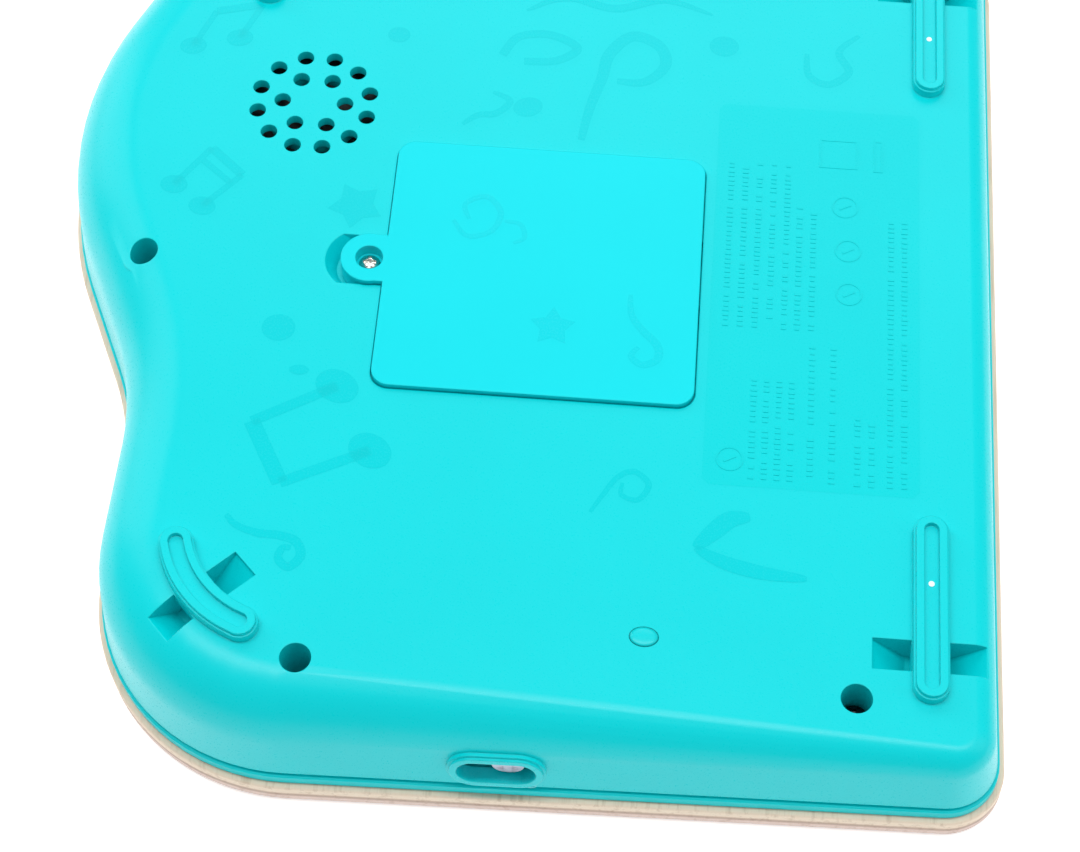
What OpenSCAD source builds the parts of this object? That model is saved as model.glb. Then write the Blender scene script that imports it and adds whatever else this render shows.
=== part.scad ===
// Kids toy tablet lying on its wooden face, with its plastic back up.
// Z = 0 is the wooden face. X runs towards the straight long edge, Y along it.

/* [Body] */
// Distance from the middle of the battery cover to the straight long edge
body_right = 87; // [84:0.5:105]
// Distance from the middle of the battery cover to the widest point of the wavy edge
body_left = 98.2; // [95:0.2:118]
// Length of the body along the straight long edge
body_l = 195.8; // [190:0.2:236]
// Height of the rear housing above the front frame, at the straight long edge
housing_h = 14.8; // [14.4:0.1:18]
// Slope of the back in degrees, down towards the straight long edge
back_slope = 3.1; // [2.6:0.1:3.6]
// Thickness of the rear housing's wall
wall = 2.2; // [1.8:0.1:2.4]

/* [Outline] */
// Radius of the two corners on the straight long edge
corner_r = 9.5; // [9:0.5:14]
// Radius of the small shoulder at the lower end of the wavy edge
shoulder_r = 38.9; // [34:0.5:42]
// Radius of the hollow waist in the wavy edge
waist_r = 55; // [45:1:58]
// Radius of the large bulge in the wavy edge
bulge_r = 68; // [60:1:70]
// Radius of the corner above the bulge
crown_r = 50; // [42:1:54]
// How much further the bulge stands out than the shoulder
wave_depth = 19.3; // [17:0.1:22]

/* [Rear housing edge] */
// Height of the steep part of the side wall
skirt_h = 10.2; // [9.6:0.1:11]
// How far the side wall leans in over that height
skirt_draft = 1.2; // [0.6:0.1:1.4]
// Height and depth of the groove between housing and frame
groove = 0.7; // [0.4:0.1:0.9]

/* [Front] */
// Thickness of the plywood front board
board_t = 5; // [5:0.1:6.5]
// Thickness of the front frame that carries the board
frame_t = 2.5; // [2.3:0.1:3.2]
// How far the front frame stands out past the housing
frame_lip = 0.5; // [0.3:0.1:1]
// How far the plywood stands out past the front frame
board_lip = 1.1; // [0.6:0.1:1.6]

/* [Battery box] */
// Diameter of one AA cell
cell_d = 14.2; // [13.6:0.1:14.3]
// Length of one AA cell with its raised end
cell_l = 50.5; // [49.5:0.1:51]
// Distance between the middles of neighbouring cells
cell_pitch = 14.9; // [14.6:0.1:15.4]
// Length of the battery box inside, along the cells
box_l = 57.6; // [57:0.1:60]
// Width of the battery box inside, across the cells
box_w = 46.8; // [45:0.1:48]
// Length of the battery cover, along the cells
cover_l = 60.4; // [60.4:0.1:64]
// Width of the battery cover, across the cells
cover_w = 56.4; // [54:0.1:62]
// How far the battery cover stands proud of the back
cover_proud = 1; // [0.6:0.1:1.2]
// Radius of the round tab that takes the cover screw
tab_r = 5.5; // [5.2:0.05:6]
// Gap all round between the cover and the housing
cover_gap = 0.25; // [0.2:0.05:0.35]

/* [Speaker] */
// Pitch radius of the outer ring of speaker holes
grille_outer_r = 11.3; // [10.5:0.1:12]
// Pitch radius of the inner ring of speaker holes
grille_inner_r = 6.26; // [5.5:0.02:6.6]
// Diameter of one speaker hole
grille_hole_d = 3.3; // [2.4:0.1:3.5]
// Outer radius of the speaker's frame
speaker_r = 20; // [18:0.5:21]

/* [Switch] */
// Length of the opening for the switch knob
switch_slot_l = 14.2; // [13.4:0.1:16]
// Height of the opening for the switch knob
switch_slot_h = 6.4; // [5.8:0.1:6.8]
// Diameter of the switch knob
knob_d = 5.9; // [5:0.1:6]
// Full travel of the knob, in two steps
knob_travel = 4; // [3:0.1:4.4]

/* [Feet and screws] */
// Width of a moulded foot at its base
foot_w = 6.4; // [6:0.1:7.2]
// Height of a moulded foot above the back
foot_h = 2.6; // [2:0.1:3]
// Length of a straight foot
foot_l = 36.4; // [32:0.2:40]
// Width of the strap channel that passes under each foot
strap_w = 6; // [5:0.1:7.4]
// Depth of the strap channel below the back
strap_depth = 7; // [6.8:0.1:7.4]
// Diameter of the recess over each housing screw
screw_recess_d = 5.6; // [5.5:0.1:6.2]

/* [Hidden] */
$fn = 48;

eps = 0.01;
half_l = body_l / 2;
skirt_z = board_t + frame_t;          // where the housing stands on the frame
back_z = skirt_z + housing_h + body_right * tan(back_slope); // back, at the cover's middle
fit = 0.05;                           // running clearance of parts that slide or turn
seat = 0.1;                           // clearance where a part lies in its seat

teal = [0.0, 0.80, 0.84];
teal_cover = [0.0, 0.84, 0.88];
birch = [0.84, 0.77, 0.68];
steel = [0.75, 0.76, 0.78];
nickel = [0.82, 0.82, 0.80];
board_green = [0.06, 0.36, 0.20];
black = [0.08, 0.08, 0.09];

// ---- outline: a belt of circles; a negative radius bends the outline inwards ----
shoulder_c = [-body_left + wave_depth + shoulder_r, -half_l + shoulder_r];
bulge_c = [-body_left + bulge_r, half_l - 64.9];
crown_c = [bulge_c.x - 13, half_l - crown_r];
waist_c = [-body_left + wave_depth + 0.5 - waist_r, bulge_c.y - 70.2];
belt = [
    [body_right - corner_r, -half_l + corner_r, corner_r],
    [body_right - corner_r, half_l - corner_r, corner_r],
    [crown_c.x, crown_c.y, crown_r],
    [bulge_c.x, bulge_c.y, bulge_r],
    [waist_c.x, waist_c.y, -waist_r],
    [shoulder_c.x, shoulder_c.y, shoulder_r]];
belt_n = len(belt);
arc_step = [9, 9, 5, 4.5, 4.5, 5];      // degrees between outline points on each circle

// angle of the outward normal on the straight run from circle a to circle b
function run_angle(a, b) =
    let (dx = b.x - a.x, dy = b.y - a.y, d = sqrt(dx * dx + dy * dy))
    atan2(dy, dx) - acos(max(-1, min(1, (a.z - b.z) / d)));
function turn(from, to, sign) =
    sign > 0 ? (((to - from) % 360) + 360) % 360 : -((((from - to) % 360) + 360) % 360);
// outline as [x, y, angle of the outward normal]
outline = [for (i = [0 : belt_n - 1])
    let (c = belt[i],
         start = run_angle(belt[(i + belt_n - 1) % belt_n], c),
         end = run_angle(c, belt[(i + 1) % belt_n]),
         sweep = turn(start, end, c.z),
         steps = max(1, ceil(abs(sweep) / arc_step[i])))
    for (k = [0 : steps])
        let (a = start + sweep * k / steps)
        [c.x + c.z * cos(a), c.y + c.z * sin(a), a]];
outline_n = len(outline);
function inset_xy(p, inset) = [p.x - inset * cos(p.z), p.y - inset * sin(p.z)];
function outline_at(inset) = [for (p = outline) inset_xy(p, inset)];

// ---- skin of the housing: rings of the outline, leaning in and rounding over ----
round_steps = 9;
crest = 0.02;                          // the rounded edge rises this far before the back is cut flat
function back_at(x) = back_z - x * tan(back_slope);
// point of a ring on the rounded edge, sink = depth of this skin below the outer one
function round_point(p, angle, sink) =
    let (r = back_at(p.x) - skirt_z - skirt_h - sink,
         in = skirt_draft + sink + r * (1 - cos(angle)),
         xy = inset_xy(p, in),
         top = back_at(inset_xy(p, skirt_draft + sink + r).x) - sink + (sink > 0 ? 0 : crest))
    [xy.x, xy.y, skirt_z + skirt_h + (top - skirt_z - skirt_h) * sin(angle)];
function level_ring(z, inset) = [for (p = outline) [each inset_xy(p, inset), z]];
function round_ring(angle, sink) = [for (p = outline) round_point(p, angle, sink)];

// one closed skin: up the outer rings, over the top, and down the inner ones to the rim
module skin(outer, inner) {
    n = outline_n;
    last_out = len(outer) - 1;
    first_in = len(outer) * n;
    last_in = first_in + (len(inner) - 1) * n;
    side = [for (i = [0 : n - 1]) [i, (i + 1) % n]];
    polyhedron(
        points = [for (ring = outer) each ring, for (ring = inner) each ring],
        faces = [
            for (r = [0 : last_out - 1]) for (e = side)
                let (a = r * n, b = a + n)
                each [[a + e[0], b + e[0], a + e[1]], [a + e[1], b + e[0], b + e[1]]],
            [for (i = [0 : n - 1]) last_out * n + n - 1 - i],
            for (a = [first_in : n : last_in - n]) for (e = side)
                let (b = a + n)
                each [[a + e[0], a + e[1], b + e[0]], [a + e[1], b + e[1], b + e[0]]],
            [for (i = [0 : n - 1]) last_in + i],
            for (e = side) each [
                [e[0], e[1], first_in + e[0]], [e[1], first_in + e[1], first_in + e[0]]]],
        convexity = 6);
}
inner_steps = 5;
module housing_skin() {
    reach = body_l;
    difference() {
        skin(
            [level_ring(skirt_z, groove), level_ring(skirt_z + groove, groove),
                level_ring(skirt_z + groove + 0.15, 0),
                for (k = [0 : round_steps]) round_ring(90 * k / round_steps, 0)],
            [level_ring(skirt_z, wall),
                for (k = [0 : inner_steps]) round_ring(90 * k / inner_steps, wall)]);
        on_back() translate([-reach, -reach, 0]) cube([2 * reach, 2 * reach, 1]);
    }
}

// ---- shared helpers ----
// frame of the sloping back: local Z = 0 is the back, local X runs down the slope
module on_back() {
    translate([0, 0, back_z]) rotate([0, back_slope, 0]) children();
}
module rounded_plate(l, w, r, h) {
    linear_extrude(h) {
        square([l - 2 * r, w], center = true);
        square([l, w - 2 * r], center = true);
        for (x = [-1, 1]) for (y = [-1, 1])
            translate([x * (l / 2 - r), y * (w / 2 - r)]) circle(r);
    }
}
module block(x0, x1, y0, y1, z0, z1) {
    translate([x0, y0, z0]) cube([x1 - x0, y1 - y0, z1 - z0]);
}
module ring(r_in, r_out, z0, z1) {
    translate([0, 0, z0]) rotate_extrude()
        translate([r_in, 0]) square([r_out - r_in, z1 - z0]);
}
// pan head screw with its seat at z = 0, head up, cross recess in the head
module pan_screw(shank_r, shank_l, head_r, head_h) {
    recess_w = head_r * 0.28;
    recess_l = head_r * 1.15;
    difference() {
        union() {
            translate([0, 0, -shank_l]) cylinder(r = shank_r, h = shank_l + eps);
            rotate_extrude() intersection() {
                square([head_r, head_h]);
                translate([0, -head_r * 0.62]) circle(head_r * 0.62 + head_h, $fn = 64);
            }
        }
        for (a = [0, 90]) rotate(a)
            translate([-recess_l / 2, -recess_w / 2, head_h * 0.4]) cube([recess_l, recess_w, head_h]);
    }
}
// round wire swept along points
function unit(v) = v / norm(v);
function tube_ring(path, i, r, sides) =
    let (n = len(path),
         dir = unit(path[min(i + 1, n - 1)] - path[max(i - 1, 0)]),
         side = unit(cross(dir, abs(dir.z) > 0.9 ? [1, 0, 0] : [0, 0, 1])),
         up = cross(side, dir))
    [for (k = [0 : sides - 1]) path[i] + r * (cos(360 * k / sides) * side - sin(360 * k / sides) * up)];
module tube(path, r, sides = 8) {
    n = len(path);
    polyhedron(
        points = [for (i = [0 : n - 1]) each tube_ring(path, i, r, sides)],
        faces = [
            [for (k = [0 : sides - 1]) k],
            for (i = [0 : n - 2]) for (k = [0 : sides - 1])
                let (j = (k + 1) % sides, a = i * sides, b = a + sides)
                each [[a + k, b + k, a + j], [a + j, b + k, b + j]],
            [for (k = [0 : sides - 1]) (n - 1) * sides + sides - 1 - k]],
        convexity = 4);
}
// smooth route through hand-placed points (Catmull-Rom)
function spline_point(a, b, c, d, t) =
    0.5 * (2 * b + (c - a) * t + (2 * a - 5 * b + 4 * c - d) * t * t + (3 * b - a - 3 * c + d) * t * t * t);
function route(p, steps = 4) =
    let (n = len(p))
    [for (i = [0 : n - 2]) for (k = [0 : steps - 1])
        spline_point(p[max(i - 1, 0)], p[i], p[i + 1], p[min(i + 2, n - 1)], k / steps), p[n - 1]];

// ---- battery box, in the frame of the back ----
cover_under = -1;                      // underside of the cover plate
cover_r = 3.5;
cell_r = cell_d / 2;
cell_z = cover_under - 0.2 - cell_r;   // axis of the cells
box_floor = cell_z - cell_r - seat;
box_wall = 1.5;
box_half = box_l / 2;
cover_half = cover_l / 2;
hinge_x = cover_half + cover_gap;      // the cover swings about the edge of the opening
tab_x = -(cover_half + 3.08);          // middle of the screw tab
tab_under = -3;
tab_pocket = tab_under - 0.4;
tongue_w = 4.6;
tongue_t = 1.4;
tongue_top = -wall - 0.3;
tongue_reach = 2.4;
tongue_root = box_half + 0.1;          // inner face of the tongue's neck
contact_t = 0.4;
contact_h = 9;
contact_w = 10;

// ---- cover screw, in the frame of the back ----
cover_screw_r = 1.15;
cover_screw_l = 8.4;
cover_screw_seat = -1.6;
cover_screw_head_r = 2.1;
cover_screw_lift = 3;                  // travel until the washer meets the tab
boss_top = -7;
washer_t = 0.5;
washer_r = 2.1;
thread_gap = 0.5;                      // room that lets the raised cover swing the screw out

// ---- speaker, in the frame of the back ----
speaker_xy = [-48.5, 37];
speaker_seat = -5;
speaker_rim_t = 1.2;
speaker_ear_r = speaker_r + 5.5;
speaker_ears = [30, 150, 270];
clamp_t = 1.6;

// ---- main board, in the frame of the back ----
pcb_t = 1.6;
pcb = [-26, 46, -72, -34];             // x0, x1, y0, y1
pcb_z = -8;                            // face that rests on the posts
pcb_holes = [for (x = [pcb[0] + 4, pcb[1] - 4]) for (y = [pcb[2] + 4, pcb[3] - 4]) [x, y]];

// ---- switch, in the frame of the part ----
switch_x = -1.4;
switch_z = skirt_z + 6.8;
bezel_rim = 1.8;
bezel_proud = 1.3;
side_y = -half_l;                      // foot of the lower side wall
wall_in = side_y + wall + skirt_draft + 0.3;  // clear of the leaning wall inside
knob_rest = knob_travel / 2;           // the knob rests at the end towards the straight edge
slider_l = switch_slot_l + knob_travel + 4;
slider_h = 7.6;
slider_t = 1.2;
switch_gap = 0.2;
switch_case = [12.8, 5.2, 5.5];        // length, depth, height
switch_pcb = [40, 1.6, 9];             // length, thickness, height
case_y = wall_in + slider_t + switch_gap;
switch_pcb_y = case_y + switch_case.y;
switch_post_x = 16.6;

// ---- screws that hold housing and frame together ----
screw_seat_z = skirt_z + 7;
screw_boss_z = skirt_z + 4.5;          // where housing post and frame post meet
screw_inset = 13.3;
housing_screw_xy = [
    [body_right - 25.9, -half_l + screw_inset],
    [body_right - 25.9, half_l - screw_inset],
    [-37, -half_l + screw_inset],
    [-37, half_l - screw_inset],
    [-body_left + 21.4, -1]];

// ---- feet, in the frame of the back ----
foot_x = body_right - 13;
foot_mid_y = half_l - 31.4;            // middle of a straight foot
strap_y = half_l - 22.3;               // middle of its strap channel
foot_arc_r = 21.6;
foot_arc = [195, 250];                 // ends of the curved foot's middle line, in degrees
strap_arc = 224;
strap_half = 10.2;
bar_half = foot_w / 2 + 0.1;            // the bar under each foot, a little wider than the foot
bar_under = -wall + 0.15;

module strap_profile() {
    polygon([
        [-strap_half, 1], [-strap_half, -0.8], [-3.6, -strap_depth], [3.6, -strap_depth],
        [strap_half, -0.8], [strap_half, 1], [bar_half, 1], [bar_half, bar_under],
        [-bar_half, bar_under], [-bar_half, 1]]);
}
module strap_duct_profile() {
    deep = strap_depth + 1.5;
    polygon([
        [-strap_half - 1, -3.4], [-8.5, -wall + 0.2], [8.5, -wall + 0.2],
        [strap_half + 1, -3.4], [4.6, -deep], [-4.6, -deep]]);
}
// strap channel (or its walls) across a foot, its length along local X
module strap_shape(width) {
    rotate([90, 0, 0]) translate([0, 0, -width / 2]) linear_extrude(width) children();
}
// places of the strap channels: x, y, turn about that point, reach from it
strap_places = [
    [foot_x, -strap_y, 0, 0],
    [foot_x, strap_y, 0, 0],
    [shoulder_c.x, shoulder_c.y, strap_arc, foot_arc_r],
    [shoulder_c.x, -shoulder_c.y, -strap_arc, foot_arc_r]];
module at_strap(k) {
    p = strap_places[k];
    translate([p[0], p[1], 0]) rotate(p[2]) translate([p[3], 0, 0]) children();
}
module strap_cut(k) {
    on_back() at_strap(k) strap_shape(strap_w) strap_profile();
}

// ---- feet moulded on the back ----
module straight_foot_shape(w) {
    square([w, foot_l - foot_w], center = true);
    for (s = [-1, 1]) translate([0, s * (foot_l - foot_w) / 2]) circle(d = w);
}
module curved_foot_shape(w) {
    rotate(foot_arc[0]) intersection() {
        difference() {
            circle(foot_arc_r + w / 2, $fn = 96);
            circle(foot_arc_r - w / 2, $fn = 96);
        }
        polygon([[0, 0], [60, 0], [60, 60 * tan((foot_arc[1] - foot_arc[0]) / 2)],
            60 * [cos(foot_arc[1] - foot_arc[0]), sin(foot_arc[1] - foot_arc[0])]]);
    }
    // the round ends are a hair wider than the band, so that their walls cross instead of touching
    for (a = foot_arc) rotate(a) translate([foot_arc_r, 0]) circle(d = w + 0.06);
}
module foot_solid() {
    rim = 1.45;
    step = 0.8;
    difference() {
        union() {
            translate([0, 0, -1]) linear_extrude(1 + foot_h - step) foot_outline(foot_w);
            translate([0, 0, -1]) linear_extrude(1 + foot_h) foot_outline(foot_w - 0.8);
        }
        translate([0, 0, foot_h - 1]) linear_extrude(2) foot_outline(foot_w - 0.8 - 2 * rim);
    }
}
module foot_outline(w) {
    if ($curved) curved_foot_shape(w);
    else straight_foot_shape(w);
}
module feet() {
    for (s = [-1, 1]) {
        translate([foot_x, s * foot_mid_y, 0]) foot_solid($curved = false);
        translate([shoulder_c.x, s * shoulder_c.y, 0]) scale([1, s, 1]) foot_solid($curved = true);
    }
}

// ---- rear housing ----
module rear_housing() {
    color(teal) difference() {
        difference() {
            difference() {
                difference() {
                    housing_body();
                    on_back() back_cuts();
                    side_cuts();
                    for (p = housing_screw_xy) translate([p.x, p.y, 0]) {
                        translate([0, 0, screw_seat_z]) cylinder(d = screw_recess_d, h = 60);
                        cylinder(r = 1.7, h = 60);
                    }
                }
                for (k = [0, 1]) strap_cut(k);
            }
            strap_cut(2);
        }
        strap_cut(3);
    }
}
module housing_body() {
    housing_skin();
    on_back() back_structure();
    side_structure();
    housing_posts();
    on_back() feet();
    switch_bezel();
}
// posts for the housing screws; the last one ends under the rounded edge, so its top slants
post_r = 4.4;
module housing_posts() {
    for (k = [0 : 3]) let (p = housing_screw_xy[k])
        translate([p.x, p.y, screw_boss_z])
            cylinder(r = post_r, h = back_at(p.x) - wall + 0.8 - screw_boss_z);
    p = housing_screw_xy[4];
    top = back_at(p.x) - wall + 0.2;
    difference() {
        translate([p.x, p.y, screw_boss_z]) cylinder(r = post_r, h = 30);
        translate([p.x, p.y, top]) rotate([0, 0, -25]) rotate([0, -13, 0])
            translate([-15, -15, 0]) cube(30);
    }
}
// walls, posts and rings that hang from the inside of the back
module back_structure() {
    inside = -wall + 0.4;
    // battery box with the ledge that the cover rests on
    block(-box_half - box_wall, box_half + box_wall, -box_w / 2 - box_wall, box_w / 2 + box_wall,
        box_floor - box_wall, inside);
    block(-cover_half - 1.6, cover_half + 1.6, -cover_w / 2 - 1.6, cover_w / 2 + 1.6,
        cover_under - 1.8, inside);
    // bowl around the screw tab, and the boss that the cover screw bites into
    translate([tab_x, 0, tab_pocket - 1.5]) cylinder(r = tab_r + 4, h = 4);
    translate([tab_x, 0, boss_top - 5]) cylinder(r = 4, h = 6 - tab_pocket);
    // speaker seat, locating wall, baffle ring and ear posts
    translate([speaker_xy.x, speaker_xy.y, 0]) {
        ring(speaker_r - 2.4, speaker_r + 1.8, speaker_seat, inside);
        ring(speaker_r + 0.2, speaker_r + 1.8, speaker_seat - speaker_rim_t, inside);
        ring(grille_inner_r + 1.75, grille_outer_r - 1.75, -wall - 2, inside);
        for (a = speaker_ears) rotate(a) translate([speaker_ear_r, 0, speaker_seat - speaker_rim_t])
            cylinder(r = 3, h = 5);
    }
    // posts for the main board
    for (p = pcb_holes) translate([p.x, p.y, pcb_z]) cylinder(r = 3, h = -pcb_z + inside);
    // walls of the strap channels
    for (k = [0 : 3]) at_strap(k) strap_shape(strap_w + 2.6) strap_duct_profile();
}
module back_cuts() {
    // opening for the cover, down to its ledge
    translate([0, 0, cover_under - fit])
        rounded_plate(cover_l + 2 * cover_gap, cover_w + 2 * cover_gap, cover_r, 4);
    // battery box
    difference() {
        block(-box_half, box_half, -box_w / 2, box_w / 2, box_floor, 1);
        // low ribs between the cells
        for (s = [-1, 1]) block(-box_half, box_half, s * cell_pitch / 2 - 0.6, s * cell_pitch / 2 + 0.6,
            box_floor - 1, box_floor + 2.4);
    }
    // notches for the two tongues of the cover
    for (s = [-1, 1]) block(tongue_root - 0.3, hinge_x + tongue_reach + 0.6,
        s * cell_pitch / 2 - tongue_w / 2 - 0.35, s * cell_pitch / 2 + tongue_w / 2 + 0.35,
        tongue_top - tongue_t - 1.3, cover_under);
    for (s = [-1, 1]) block(tongue_root - 0.3, hinge_x,
        s * cell_pitch / 2 - tongue_w / 2 - 0.35, s * cell_pitch / 2 + tongue_w / 2 + 0.35,
        cover_under - 1, 1);
    // finger recess and pocket round the tab, kept clear of the battery box wall
    intersection() {
        union() {
            translate([tab_x, 0, tab_pocket]) cylinder(r = tab_r + 0.3, h = 1 - tab_pocket);
            block(tab_x, -cover_half, -tab_r - 0.15, tab_r + 0.15, tab_pocket, 1);
            intersection() {
                translate([tab_x - 1.5, 0, tab_pocket])
                    cylinder(r1 = tab_r - 0.5, r2 = tab_r + 1.85, h = 0.5 - tab_pocket);
                block(-60, tab_x + 1, -tab_r - 0.15, tab_r + 0.15, -10, 1);
            }
        }
        block(-60, -cover_half - cover_gap + 0.05, -20, 20, -10, 1);
    }
    // room for the captive washer, then the bore in the boss
    translate([tab_x, 0, boss_top]) cylinder(r = washer_r + 0.5, h = 6);
    translate([tab_x, 0, boss_top - 4.2]) cylinder(r = cover_screw_r + thread_gap, h = 6);
    // slots for the contact tails
    contact_tail_places() block(-1, 3, -1.3, 1.3, -0.8, 0.8);
    // speaker holes, two rings
    translate([speaker_xy.x, speaker_xy.y, -wall - 1]) {
        for (k = [0 : 11]) rotate(30 * k + 15) translate([grille_outer_r, 0, 0])
            cylinder(d = grille_hole_d, h = 6, $fn = 32);
        for (k = [0 : 5]) rotate(60 * k) translate([grille_inner_r, 0, 0])
            cylinder(d = grille_hole_d, h = 6, $fn = 32);
    }
    translate([speaker_xy.x, speaker_xy.y, 0]) for (a = speaker_ears)
        rotate(a) translate([speaker_ear_r, 0, speaker_seat - speaker_rim_t - 1]) cylinder(r = 0.9, h = 4.4);
    // screw holes in the posts of the main board
    for (p = pcb_holes) translate([p.x, p.y, pcb_z - 1]) cylinder(r = 0.95, h = 6);
}
// posts for the switch board, grown from the side wall
module side_structure() {
    root_y = side_y + skirt_draft + 0.6;
    for (s = [-1, 1]) translate([switch_x + s * switch_post_x, root_y, switch_z])
        rotate([-90, 0, 0]) cylinder(r = 2.6, h = switch_pcb_y - root_y);
}
module slot_shape(l, h) {
    square([l - h, h], center = true);
    for (s = [-1, 1]) translate([s * (l - h) / 2, 0]) circle(d = h);
}
// raised rim round the switch opening, standing square on the leaning wall
module on_side() {
    lean = atan(skirt_draft / skirt_h);
    translate([switch_x, side_y + skirt_draft * (switch_z - skirt_z) / skirt_h, switch_z])
        rotate([90 - lean, 0, 0]) children();
}
module switch_bezel() {
    on_side() {
        translate([0, 0, -wall / 2]) linear_extrude(wall / 2 + bezel_proud - 0.5)
            slot_shape(switch_slot_l + 2 * bezel_rim, switch_slot_h + 2 * bezel_rim);
        translate([0, 0, -wall / 2]) linear_extrude(wall / 2 + bezel_proud)
            slot_shape(switch_slot_l + 2 * bezel_rim - 1, switch_slot_h + 2 * bezel_rim - 1);
    }
}
module side_cuts() {
    on_side() translate([0, 0, -wall - 2]) linear_extrude(wall + bezel_proud + 4)
        slot_shape(switch_slot_l, switch_slot_h);
    // flat seat behind the opening for the slider
    block(switch_x - slider_l / 2 - 0.3, switch_x + slider_l / 2 + 0.3,
        side_y + wall, wall_in + 0.1, switch_z - slider_h / 2 - 0.3, switch_z + slider_h / 2 + 0.3);
    for (s = [-1, 1]) translate([switch_x + s * switch_post_x, switch_pcb_y + 1, switch_z])
        rotate([90, 0, 0]) cylinder(r = 0.95, h = 6);
}

// ---- front: frame, wooden board, touch board ----
touch_inset = 8;
touch_t = 1.3;
pad_t = 0.1;
touch_z = board_t - 0.2 - touch_t;     // face of the touch board towards the wood
ribbon_x = -6;
ribbon_w = 10;
ribbon_t = 0.3;
ribbon_y = -76;
module front_frame() {
    rib_in = wall + 0.3;
    rib_t = 1.3;
    color(teal) difference() {
        union() {
            translate([0, 0, board_t]) linear_extrude(frame_t) polygon(outline_at(-frame_lip));
            translate([0, 0, board_t]) linear_extrude(frame_t + 1.6) difference() {
                polygon(outline_at(rib_in));
                polygon(outline_at(rib_in + rib_t));
            }
            for (p = housing_screw_xy) translate([p.x, p.y, board_t])
                cylinder(r = 4.2, h = screw_boss_z - board_t);
        }
        // thinner floor under the battery box
        block(-box_half - 4, box_half + 6, -box_w / 2 - 4, box_w / 2 + 4, board_t + 1.3, 40);
        block(ribbon_x - ribbon_w / 2 - 1, ribbon_x + ribbon_w / 2 + 1,
            ribbon_y - 1.5, ribbon_y + 1.5, 0, 40);
        for (p = housing_screw_xy) translate([p.x, p.y, board_t + 0.8]) cylinder(r = 1.5, h = 20);
    }
}
module front_board() {
    color(birch) difference() {
        linear_extrude(board_t) polygon(outline_at(-frame_lip - board_lip));
        translate([0, 0, touch_z - pad_t]) linear_extrude(10) polygon(outline_at(touch_inset - 0.3));
    }
}
module touch_board() {
    color(board_green) translate([0, 0, touch_z]) linear_extrude(touch_t) polygon(outline_at(touch_inset));
}
key_pitch = 19;
key_w = 16;
key_l = 54;
key_n = 7;
module touch_pads() {
    color("#c98a4b") translate([0, 0, touch_z - pad_t]) {
        for (k = [0 : key_n - 1])
            translate([-key_l + 60, (k - (key_n - 1) / 2) * key_pitch - key_w / 2, 0])
                cube([key_l, key_w, pad_t]);
        for (k = [-1 : 2]) translate([-38, k * 26, 0]) cylinder(r = 9, h = pad_t);
    }
}
// flat cable from the touch board, up through the frame, to the main board
connector = [10.5, 5, 3];              // length, depth, height
module strip(points, t) {
    n = len(points);
    side = [for (i = [0 : n - 1])
        let (d = unit(points[min(i + 1, n - 1)] - points[max(i - 1, 0)])) [-d.y, d.x]];
    polygon([for (i = [0 : n - 1]) points[i] + side[i] * t / 2,
        for (i = [n - 1 : -1 : 0]) points[i] - side[i] * t / 2]);
}
pcb_low = back_z + pcb_z - pcb_t;      // underside of the main board at X = 0
module touch_ribbon() {
    start_z = touch_z + touch_t;
    color("#e6e2d6") translate([ribbon_x - ribbon_w / 2, 0, 0]) rotate([90, 0, 90])
        linear_extrude(ribbon_w) strip([
            [ribbon_y, start_z], [ribbon_y, start_z + 4], [ribbon_y - 0.6, start_z + 7],
            [ribbon_y - 0.4, pcb_low - 3.2], [ribbon_y + 0.8, pcb_low - 1.9],
            [pcb[2] + 0.6, pcb_low - 1.5]], ribbon_t);
}
module housing_screws() {
    color(steel) for (p = housing_screw_xy) translate([p.x, p.y, screw_seat_z])
        pan_screw(1.45, screw_seat_z - board_t - 1.1, 2.5, 1.9);
}

// ---- battery cover and its screw ----
module battery_cover() {
    color(teal_cover) on_back() difference() {
        union() {
            translate([0, 0, cover_under]) rounded_plate(cover_l, cover_w, cover_r, cover_proud - cover_under);
            translate([tab_x, 0, cover_under]) cylinder(r = tab_r, h = cover_proud - cover_under);
            block(tab_x, -cover_half + 0.5, 0.15 - tab_r, tab_r - 0.15, cover_under, cover_proud);
            intersection() {
                union() {
                    translate([tab_x, 0, tab_under]) cylinder(r = tab_r, h = 3);
                    block(tab_x, -cover_half, 0.15 - tab_r, tab_r - 0.15, tab_under, 0);
                }
                block(-60, -cover_half - 0.55, -20, 20, -10, 1);
            }
            for (s = [-1, 1]) {
                block(tongue_root, cover_half, s * cell_pitch / 2 - tongue_w / 2,
                    s * cell_pitch / 2 + tongue_w / 2, tongue_top - tongue_t, cover_under + eps);
                block(tongue_root, hinge_x + tongue_reach, s * cell_pitch / 2 - tongue_w / 2,
                    s * cell_pitch / 2 + tongue_w / 2, tongue_top - tongue_t, tongue_top);
            }
        }
        translate([tab_x, 0, cover_screw_seat]) cylinder(r = 2.65, h = 5);
        translate([tab_x, 0, -10]) cylinder(r = cover_screw_r + fit + 0.05, h = 12);
    }
}
module cover_screw() {
    color(nickel) on_back() translate([tab_x, 0, cover_screw_seat])
        pan_screw(cover_screw_r, cover_screw_l, cover_screw_head_r, 1.3);
}
module cover_screw_washer() {
    z = tab_under - cover_screw_lift - fit - washer_t;
    color(nickel) on_back() translate([tab_x, 0, 0])
        ring(cover_screw_r + fit, washer_r, z, z + washer_t);
}

// ---- cells and contacts ----
nub_l = 1;
nub_r = 2.75;
spring_room = box_l - 2 * contact_t - cell_l - fit;
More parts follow.
